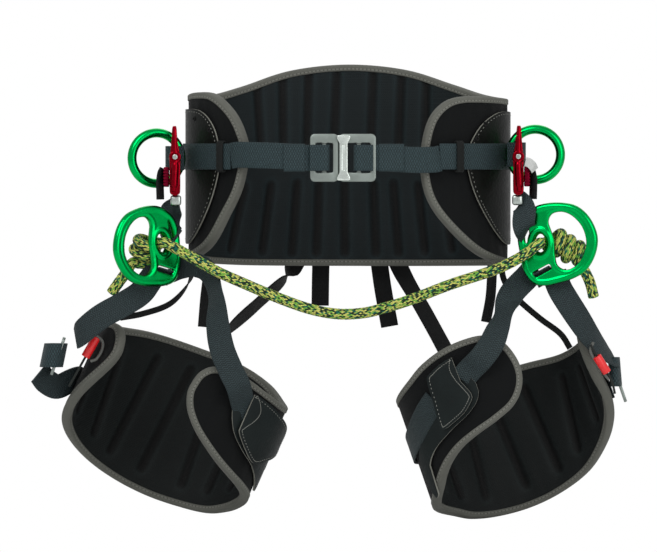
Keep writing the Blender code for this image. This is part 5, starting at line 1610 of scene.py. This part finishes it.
buckleWraps = {
    "right": {
        "middle": (-0.3385, -0.044, -0.228), "half": (0.0125, 0.023), "across": (0.2, 0, 0.98),
        "width": 0.028,
        "piping": [
            (-0.29, -0.052, -0.205), (-0.2825, -0.051, -0.212), (-0.283, -0.051, -0.222),
            (-0.289, -0.051, -0.232), (-0.296, -0.05, -0.235)]},
    "left": {
        "middle": (0.307, -0.001, -0.247), "half": (0.006, 0.023), "across": (-0.08, 0, 0.99),
        "width": 0.034,
        "piping": [
            (0.282, -0.06, -0.213), (0.279, -0.059, -0.223), (0.285, -0.058, -0.236),
            (0.2935, -0.056, -0.248), (0.3, -0.054, -0.256)]}}
sideTails = {
    "right": [(-0.16, -0.04, -0.129), (-0.164, -0.042, -0.16), (-0.167, -0.042, -0.1955)],
    "left": [(0.166, -0.04, -0.125), (0.164, -0.042, -0.16), (0.1585, -0.042, -0.19)]}


def makeLegExtras(tag):
    # strap folded back through the leg buckle, piping beside the red sleeve, a loose strap end below the hip
    values = buckleWraps[tag]
    middle, (wide, deep) = Vector(values["middle"]), values["half"]
    stations = []
    for i in range(16):
        a = 2 * math.pi * i / 16
        spot = middle + Vector((wide * math.cos(a), deep * math.sin(a), 0))
        stations.append((*spot, *values["across"]))
    wrap = strap("legBuckleWrap_" + tag, stations, values["width"], 0.0021, "webbing", 4, closed=True)
    settle(wrap, "leg_buckle_" + tag, "webbing")
    piping = tubePiece("sleevePiping_" + tag, values["piping"], 0.0017, 14, 8)
    settle(dress(piping, "piping", 60), "leg_" + tag, "sleeve")
    tail = strap("sideTail_" + tag, [(*p, 1, 0, 0) for p in sideTails[tag]], 0.0115, 0.0018, "riser")
    settle(tail, "belt", "riser")


rivetSpots = {"right": ((-120.0, 0.031), (-108.0, 0.044)), "left": ((126.0, 0.021), (121.0, 0.038))}


def makeRivets(tag):
    rivets = []
    for degrees, height in rivetSpots[tag]:
        arc = arcAt(beltSection, degrees)
        _, outward = outwardAt(beltSection, arc)
        deselectAll()
        bpy.ops.mesh.primitive_torus_add(major_segments=40, minor_segments=12, major_radius=0.0019,
                                         minor_radius=0.0009,
                                         location=onOval(beltSection, arc, height, 0.0152),
                                         rotation=outward.to_track_quat("Z", "Y").to_euler())
        rivets.append(bakePlace(bpy.context.object))
    settle(dress(join("shellRivets_" + tag, rivets), "riser", 60), "belt", "shell")


shellCorners = {
    "right": [
        (-126, 0.0), (-123, 0.032), (-114, 0.052), (-98, 0.055), (-80, 0.05), (-72, 0.02), (-72, -0.04),
        (-80, -0.085), (-96, -0.1), (-108, -0.09), (-118, -0.062), (-124, -0.03)],
    "left": [
        (72, 0.02), (80, 0.046), (96, 0.052), (112, 0.05), (124, 0.034), (131, 0.005), (130, -0.022),
        (124, -0.055), (112, -0.088), (98, -0.101), (82, -0.088), (72, -0.045)]}


def makeShell(tag):
    face = 0.0128
    corners = shellCorners[tag]
    shell = sheetOnOval("sideShell_" + tag, beltSection, corners, face, face + 0.0022, "shell", 60, 40)
    settle(shell, "belt", "shell", "side_shell_" + tag)
    stitches = edgeStitches("sideShellStitches_" + tag, beltSection, corners, 0.0032, face + 0.0023)
    settle(stitches, "belt", "shell")


def makeAll():
    makeCamera()
    makeRope()
    print("rope and knots done")
    makeStage()
    makeBackPad()
    print("back pad done")
    for tag, out in sides:
        makeShell(tag)
        makeSideRing(tag, out)
        makeCamBuckle(tag, out)
        makeBridgeRing(tag, out)
        makeRingWebbing(tag)
        makeLegPad(tag)
        makeLeatherTab(tag)
        makeLegBelt(tag)
        makeLegBuckle(tag)
        makeReleaseCord(tag)
        makeLegStraps(tag, out)
        makeLegExtras(tag)
        makeRivets(tag)
        makeKeeper(tag)
        print(tag, "side done")
    makeWaistWebbing()
    makeBuckle()
    print("waist belt done")


mats = makeMaterials()
makeAll()
deselectAll()
